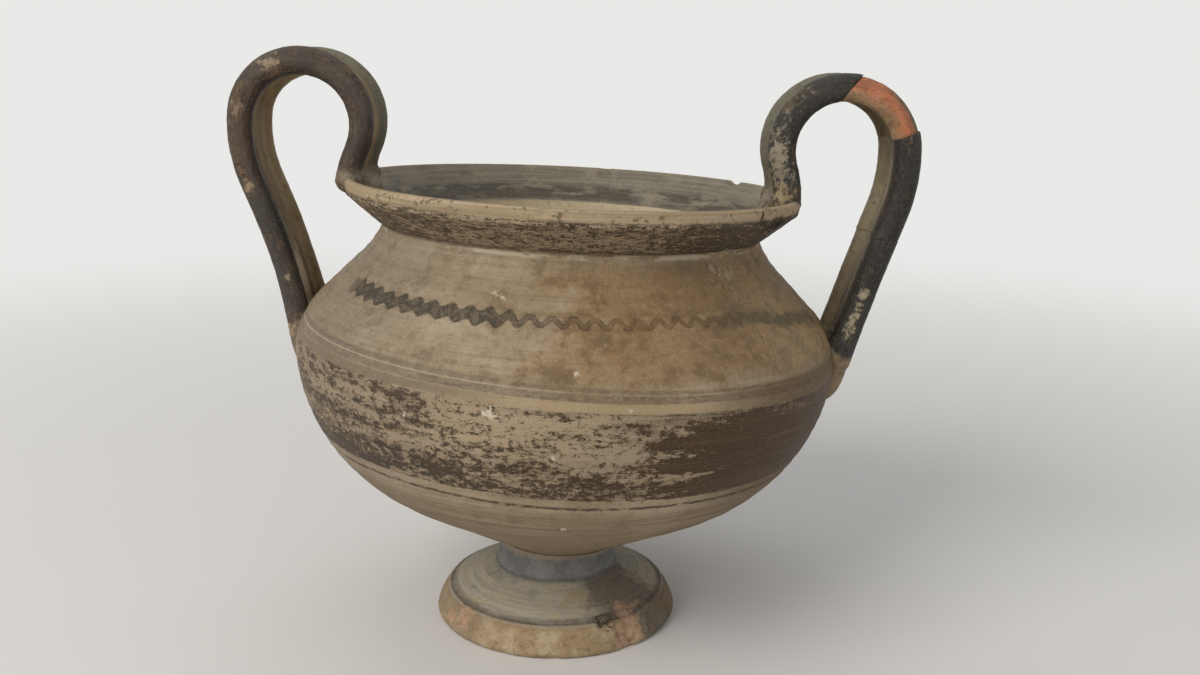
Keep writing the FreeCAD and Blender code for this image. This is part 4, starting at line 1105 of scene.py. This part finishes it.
def foot_material(runs):
    """Thin grey slip over buff clay, worn off along the edge, with salmon losses."""
    g = Graph(bpy.data.materials.new("foot_clay"))
    place = g.row_place(FOOT_AXIS)
    x, y, z = g.parts(place)
    run = g.attribute("profile_run")
    azimuth, radius = g.azimuth(x, y), g.radius(x, y)
    turn = -abs(azimuth)
    rings = g.thrown(x, y, run, 40, 0.9, 5.0, 0.65)
    blotches, mottle, grain = g.speckle(place, 0.17, 0.6, 2.0)
    ragged = mottle.swing(2.2) + grain.swing(0.8)
    upper = rings.fade(0.38, 0.62).mix("#a9a18f", "#978f7f").lay(
        ("#ab9b7d", blotches.fade(0.50, 0.62), 0.6),
        ("#7d776b", blotches.fade(0.46, 0.36), 0.5),
        ("#574c40", (azimuth + blotches.swing(50.0)).band(-64.0, -14.0, 7.0), 0.72),
        ("#a3926f", place.near((6.0, -22.0, 12.5), 4.0, blotches, 0.5), 0.6))
    stem = blotches.fade(0.38, 0.62).mix("#7f7e7a", "#6a6967").lay(
        ("#94897a", mottle.fade(0.55, 0.66), 0.5),
        ("#9a8b74", (z + ragged).fade(20.4, 21.6), 0.7))
    groove = ((run + ragged * 0.5).band(runs["groove"] - 1.0, runs["groove"] + 1.3, 0.6)
              * blotches.fade(0.36, 0.56, 0.45, 1.0))
    edge = (run + ragged * 0.8).fade(runs["groove"] - 0.8, runs["groove"] - 2.0) * radius.fade(27.5, 28.5)
    edge_colour = blotches.fade(0.38, 0.60).mix("#b3a081", "#9c8666").lay(
        ("#7a6249", mottle.fade(0.54, 0.64), 0.6),
        ("#846a4f", z.fade(6.0, 8.0), 0.45),
        ("#604f3d", turn.fade(-46.0, -36.0), 0.8),
        ("#7c6955", turn.fade(-118.0, -136.0), 0.5),
        ("#6f6a60", azimuth.band(-42.0, -20.0, 3.0), blotches.fade(0.44, 0.54), 0.7))
    bare = g.most(*[place.near((*polar((0, 0), FOOT_RADIUS - 0.36 * height, degrees), height), size, blotches, 0.6)
                    for degrees, height, size in FOOT_LOSSES.values()])
    notch = place.near((*polar((0, 0), 30.9, -61.5), 8.6), 2.3, mottle, 0.6)
    under = radius.fade(29.2, 28.2) * run.fade(runs["ring"] + 0.5, runs["ring"] - 0.5)
    colour = (z + ragged * 0.6).fade(14.2, 15.2).mix(upper, stem).lay(
        ("#4c4a46", (z + ragged * 0.3).band(14.6, 15.5, 0.4), 0.5),
        ("#544c42", groove, 0.7),
        (edge_colour, edge),
        (mottle.fade(0.42, 0.58).mix("#b6957a", "#9f7f66"), bare, 0.82),
        ("#332c26", notch, 0.85),
        (blotches.fade(0.4, 0.6).mix("#8d7a62", "#75654f"), under),
        ("#453a2e", grain.fade(0.58, 0.70), 0.55),
        ("#cabda4", grain.fade(0.41, 0.29), 0.4))
    height = rings * 0.6 + grain * 0.7 + mottle
    return g.finish(g.clay(colour, grain.swing(0.25) + 0.72, height, 0.00032, 0.9, 0.2))


def strap_place(g):
    """Place, height, run, way out from the loop and place across on a strap, and a noise drawn out along it."""
    place = g.bowl_place()
    x, y, z = g.parts(place)
    run, out = g.attribute("strap_run"), g.attribute("strap_out")
    across = y - STRAP_PLANE
    drawn = g.noise(g.vector(run * 0.07, out * 0.42, across * 0.42), 1.0, 5.0, 0.7)
    return place, z, run, out, across, drawn


def strap_material(name, paint, smoke, patches, stains_and_painted_shading):
    """Worn dark slip on a strap: rolls, groove, web and luting differ, with wear set from the photograph."""
    g = Graph(bpy.data.materials.new(name))
    row = g.row_place()
    place, z, run, out, across, drawn = strap_place(g)
    blotches, mottle, grain = g.speckle(place, 0.2, 0.6, 2.0, 0.72)
    inner_side = out.fade(0.8, -0.6)
    edge = across + drawn.swing(3.0)
    worn = (drawn * 0.6 + mottle * 0.4).fade(paint["cover"], paint["cover"] + 0.03)
    # pale clay low on the strap's inner face, brightened as painted light in the corner against the bowl
    bare = edge.band(-8.6, 2.2, 1.5) * inner_side * (z + blotches.swing(8.0)).fade(82.0, 75.0)
    rear = inner_side.mix(*paint["rear"]).lay((paint["web"][1], blotches.fade(0.48, 0.62), 0.4))
    low = (z + blotches.swing(16.0)).fade(paint["low"] + 2.0, paint["low"] - 2.0)
    knee = (z + blotches.swing(8.0)).fade(104.5, 101.0) * run.fade(16.0, 12.0)
    colour = drawn.fade(0.42, 0.58).mix(*paint["roll"]).lay(
        (paint["wear"], worn, 0.75),
        *row.patches(smoke, blotches, 0.2),
        (drawn.fade(0.40, 0.60).mix(*paint["web"]), edge.fade(-7.4, -5.6)),
        # the groove behind the near roll painted dark: painted shade
        (paint["groove"], edge.band(-10.6, -2.8, 1.0), inner_side, 0.94),
        ("#dccaa9", bare, paint["bare"]),
        (rear, edge.fade(3.6, 5.8)),
        (blotches.fade(0.38, 0.62).mix(*paint["luting"]), low, 0.95),
        (mottle.fade(0.42, 0.58).mix(*paint["knee"]), knee, 0.85),
        *row.patches(patches, mottle, 0.45),
        # stains, with patches of painted shade and painted light among them
        *row.patches(stains_and_painted_shading, blotches, 0.2),
        ("#221d18", mottle.fade(0.55, 0.67), 0.38),
        ("#9c8d75", grain.fade(0.42, 0.30), 0.35),
        ("#1f1a16", grain.fade(0.57, 0.70), 0.45))
    roughness = worn * 0.12 + grain.swing(0.3) + 0.56
    return g.finish(g.clay(colour, roughness, grain * 0.6 + mottle + worn * -0.3, 0.0003, 0.85, 0.22))


def streak(name, start, end, count, depth, size, tint, share):
    """A row of small patches from one pixel of the photograph to another."""
    pixels = [tuple(a + (b - a) * (k / (count - 1)) for a, b in zip(start, end)) for k in range(count)]
    return {"%s_%d" % (name, k): (pixel, depth, size, tint, share) for k, pixel in enumerate(pixels)}


# The straps' colours, and patches on them: pixel of the photograph, depth behind it, size, colour and share
NEAR = -15.0
# groove: painted shade behind the near roll
LEFT_PAINT = dict(roll=("#51473e", "#3a322b"), wear="#77604a", cover=0.53, groove="#1e1610",
                  web=("#957f5d", "#756247"), rear=("#706c5a", "#ad9875"), luting=("#857560", "#6f5f4a"),
                  # bare: pale clay low on the web, brightened as painted light in the corner against the bowl
                  low=63.0, knee=("#7a6d59", "#574b3d"), bare=0.85)
LEFT_PATCHES = {
    "crown_shoulder_wear": ((266, 61), NEAR, 3.4, "#94816a", 0.85),
    "outer_wear": ((234, 106), NEAR, 2.6, "#8a745c", 0.85),
    "arm_wear": ((246, 186), NEAR, 2.2, "#9a8468", 0.85),
    "cream_spot": ((345, 66), NEAR, 1.3, "#c9baa0", 0.95),
    "crown_wear": ((322, 54), NEAR, 2.0, "#7c6a54", 0.7),
    "nub_light": ((370, 116), NEAR, 0.9, "#c0b29b", 0.9),
    "lower_arm_wear": ((288, 276), NEAR, 1.2, "#9c8c74", 0.7),
    "root_edge": ((291, 326), -14.0, 2.2, "#a08e72", 0.8),
}
LEFT_SMOKE = {
    "arm_charcoal": ((256, 226), NEAR, 13.0, "#3c3936", 0.65),
    "arm_charcoal_low": ((272, 272), NEAR, 14.0, "#403d39", 0.75),
    "outer_brown": ((240, 140), NEAR, 13.0, "#604d3e", 0.5),
    "crown_dark": ((300, 50), NEAR, 9.0, "#3c342d", 0.5),
    "stub_dark": ((365, 150), NEAR, 7.0, "#3b3630", 0.5),
}
LEFT_STAINS_AND_PAINTED_LIGHT = {
    "knee_shade": ((345, 178), -16.0, 4.0, "#8a7d68", 0.5),
    # the patch on the web by the root: pale clay, brightened as painted light in the corner against the bowl
    "root_web_pale_and_painted_light": ((304, 318), -4.0, 5.0, "#8d7b5f", 0.8),
}
# groove: painted shade behind the near roll
RIGHT_PAINT = dict(roll=("#3c3a35", "#2c2a26"), wear="#695b48", cover=0.55, groove="#4b3f2f",
                   web=("#877c66", "#6a5f4c"), rear=("#6b6757", "#988a70"), luting=("#927e62", "#78664d"),
                   low=60.0, knee=("#85765c", "#4b4135"), bare=0.0)
RIGHT_PATCHES = {
    "stub_wear_top": ((785, 108), NEAR, 3.0, "#8d7d66", 0.7),
    "stub_wear_high": ((770, 138), NEAR, 4.4, "#978c79", 0.8),
    "stub_wear_middle": ((772, 156), NEAR, 4.8, "#968b77", 0.8),
    "stub_wear_low": ((777, 176), NEAR, 4.8, "#918672", 0.8),
    "stub_foot_wear": ((783, 192), NEAR, 3.6, "#92815f", 0.75),
    "stub_crown_wear": ((806, 88), NEAR, 2.6, "#8b7d67", 0.6),
    "nub_light": ((801, 187), NEAR, 1.0, "#b4a68c", 0.8),
    **streak("cream_streak", (864, 293), (847, 336), 9, NEAR, 1.4, "#aa9c82", 0.6),
    "lower_web_light": ((842, 262), -6.0, 6.0, "#84765a", 0.8),
    "lower_web_light_low": ((832, 296), -6.0, 5.0, "#857559", 0.8),
}
RIGHT_SMOKE = {
    "upper_dark": ((903, 190), NEAR, 18.0, "#2b2925", 0.7),
    "lower_dark": ((876, 268), NEAR, 10.0, "#2f2c28", 0.65),
}
RIGHT_STAINS_AND_PAINTED_SHADE = {
    # a dark streak down the lower groove and a dark patch in the root's gap are painted shade; the flakes are lost slip
    **streak("lower_groove_shade", (873, 250), (843, 318), 8, -10.0, 2.6, "#2a2722", 0.6),
    "root_shade": ((829, 326), -12.0, 4.0, "#241c15", 0.9),
    "flaked_foot": ((789, 218), -16.0, 3.4, "#26211c", 0.85),
    "flaked_edge": ((800, 205), -14.0, 2.6, "#2c2620", 0.7),
}
CROWN_PATCHES = {
    "dark_spot": ((877, 92), NEAR, 1.1, "#3d3026", 0.95),
    "bright_middle": ((876, 101), NEAR, 3.0, "#b9785a", 0.6),
    "bright_low": ((905, 127), NEAR, 2.6, "#b8704c", 0.7),
    "brown_middle": ((888, 113), NEAR, 2.4, "#7d5a42", 0.6),
}


def crown_material():
    """The mended crown: bare orange clay, its olive slip left on the web, far roll and margins, the web lightened under
    the arch as painted light.
    """
    crown_start = RIGHT_BREAKS["crown"][0] * handle_path(RIGHT)[2][-1]
    g = Graph(bpy.data.materials.new("orange_sherd_clay"))
    row = g.row_place()
    place, z, run, out, across, drawn = strap_place(g)
    blotches, mottle, grain = g.speckle(place, 0.22, 0.7, 2.2)
    later = run.fade(crown_start - 1.0, crown_start + 13.0)
    edge = across + drawn.swing(5.0)
    ragged_out = out + drawn.swing(4.0)
    olive = blotches.fade(0.40, 0.60).mix("#b0946f", "#8d7456")
    outer = ragged_out.fade(3.3 - later * 1.9, 4.3 - later * 1.9)
    colour = drawn.fade(0.42, 0.58).mix("#b87552", "#996247").lay(
        (olive, ragged_out.fade(-0.2 - later * 0.3, -1.7 - later * 0.3), 0.92),
        (olive, edge.fade(-7.0, -4.6), out.fade(0.4, -0.6), 0.85),
        # web and far roll under the arch: olive slip, lightened as painted light against the shade there
        ("#8a7d64", edge.fade(-3.5, 0.0), 0.85),
        (blotches.fade(0.42, 0.58).mix("#76654b", "#514632"), outer, 0.92),
        *row.patches(CROWN_PATCHES, mottle, 0.4),
        ("#6b4a35", mottle.fade(0.50, 0.62), 0.5),
        ("#d0a180", grain.fade(0.42, 0.30), 0.35),
        ("#4d3223", grain.fade(0.58, 0.70), 0.4))
    return g.finish(g.clay(colour, grain.swing(0.2) + 0.74, grain + mottle, 0.00035, 0.9, 0.3))


def floor_material():
    """A pale floor that keeps the shadow and fades into the backdrop farther off."""
    g = Graph(bpy.data.materials.new("studio_floor"))
    place = g.row_place()
    x, y, z = g.parts(place)
    tone = g.noise(place, 0.004, 2.0, 0.5).mix("#dddbd7", "#e3e1dd")
    matt = g.clay(tone, 0.8, g.noise(place, 0.6, 2.0), 0.00002, 0.2, 0.3)
    glow = g.node("Emission", {"Color": BACKDROP})
    far = g.radius(x, y).fade(180.0, 700.0)
    return g.finish(g.node("MixShader", {0: g.seen() * far, 1: matt, 2: glow}))


# The stage
def stage(half=3.0):
    corners = [(x * half / METRE, y * half / METRE, 0) for x, y in ((-1, -1), (1, -1), (1, 1), (-1, 1))]
    floor = mesh_object("floor", corners, [(0, 1, 2, 3)], False)
    floor.data.materials.append(floor_material())


def area_light(name, place, aim, width, height, power, colour):
    data = bpy.data.lights.new(name, "AREA")
    data.shape = "RECTANGLE"
    data.size = width
    data.size_y = height
    data.energy = power
    data.color = colour
    obj = add_object(name, data)
    obj.location = place
    obj.rotation_euler = (Vector(aim) - Vector(place)).to_track_quat("-Z", "Y").to_euler()


def lights():
    area_light("key", (-0.80, -0.95, 0.95), (0.0, 0.0, 0.07), 0.9, 0.8, 15.0, (1.0, 0.975, 0.94))
    area_light("fill", (0.95, -0.8, 0.55), (0.0, 0.0, 0.07), 0.9, 0.7, 1.2, (1.0, 0.99, 0.97))
    area_light("top", (-0.10, 0.30, 1.3), (0.0, 0.0, 0.05), 1.0, 0.8, 2.4, (1.0, 0.99, 0.97))
    world = bpy.data.worlds.new("studio")
    bpy.context.scene.world = world
    g = Graph(world)
    light = g.node("Background", {"Color": (0.96, 0.97, 1.0, 1.0), "Strength": 0.40})
    backdrop = g.node("Background", {"Color": BACKDROP})
    g.finish(g.node("MixShader", {0: g.seen(), 1: light, 2: backdrop}), "World")


def camera():
    data = bpy.data.cameras.new("photo_camera")
    data.sensor_fit = "HORIZONTAL"
    data.sensor_width = SENSOR_WIDTH
    data.lens = FOCAL_PIXELS * SENSOR_WIDTH / PHOTO_WIDTH
    data.clip_start = 0.01
    data.clip_end = 20.0
    data.dof.use_dof = False
    obj = add_object("photo_camera", data)
    turn = CAMERA_TURN.to_3x3()
    right, forward, up = turn @ Vector((1, 0, 0)), turn @ Vector((0, 1, 0)), turn @ Vector((0, 0, 1))
    basis = Matrix((right, up, -forward)).transposed().to_4x4()
    obj.matrix_world = Matrix.Translation(CAMERA_PLACE * METRE) @ basis
    bpy.context.scene.camera = obj


def dress(obj, material, slot, *nodes):
    obj.data.materials.clear()
    obj.data.materials.append(material)
    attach(obj, "root")
    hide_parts(*nodes)


def strap_nodes(name, *lutings):
    """The nodes of one length of strap: its web and margins, and the clay that lutes it."""
    return (name + "_web", name + "_front_margin", name + "_rear_margin", *lutings)


camera()
stage()
lights()
bpy.context.scene.view_settings.view_transform = "Standard"

bowl, sherd, bowl_runs = bowl_and_sherd()
painted = bowl_material(bowl_runs)
dress(bowl, painted, "bowl", "bowl")
dress(sherd, painted, "bowl", "right_rim_sherd")
base, foot_runs = foot()
dress(base, foot_material(foot_runs), "foot", "foot")

left_slip = strap_material("left_handle_slip", LEFT_PAINT, LEFT_SMOKE, LEFT_PATCHES, LEFT_STAINS_AND_PAINTED_LIGHT)
dress(left_handle(), left_slip, "left_handle", *strap_nodes("left_handle", "left_rim_luting", "left_root_luting"))

right_slip = strap_material("right_handle_slip", RIGHT_PAINT, RIGHT_SMOKE, RIGHT_PATCHES, RIGHT_STAINS_AND_PAINTED_SHADE)
right = right_handle()
dress(right["stub"], right_slip, "right_handle", *strap_nodes("right_stub", "right_rim_luting"))
dress(right["crown"], crown_material(), "crown_sherd", *strap_nodes("right_crown"))
dress(right["upper"], right_slip, "right_handle", *strap_nodes("right_upper"))
dress(right["lower"], right_slip, "right_handle", *strap_nodes("right_lower", "right_root_luting"))
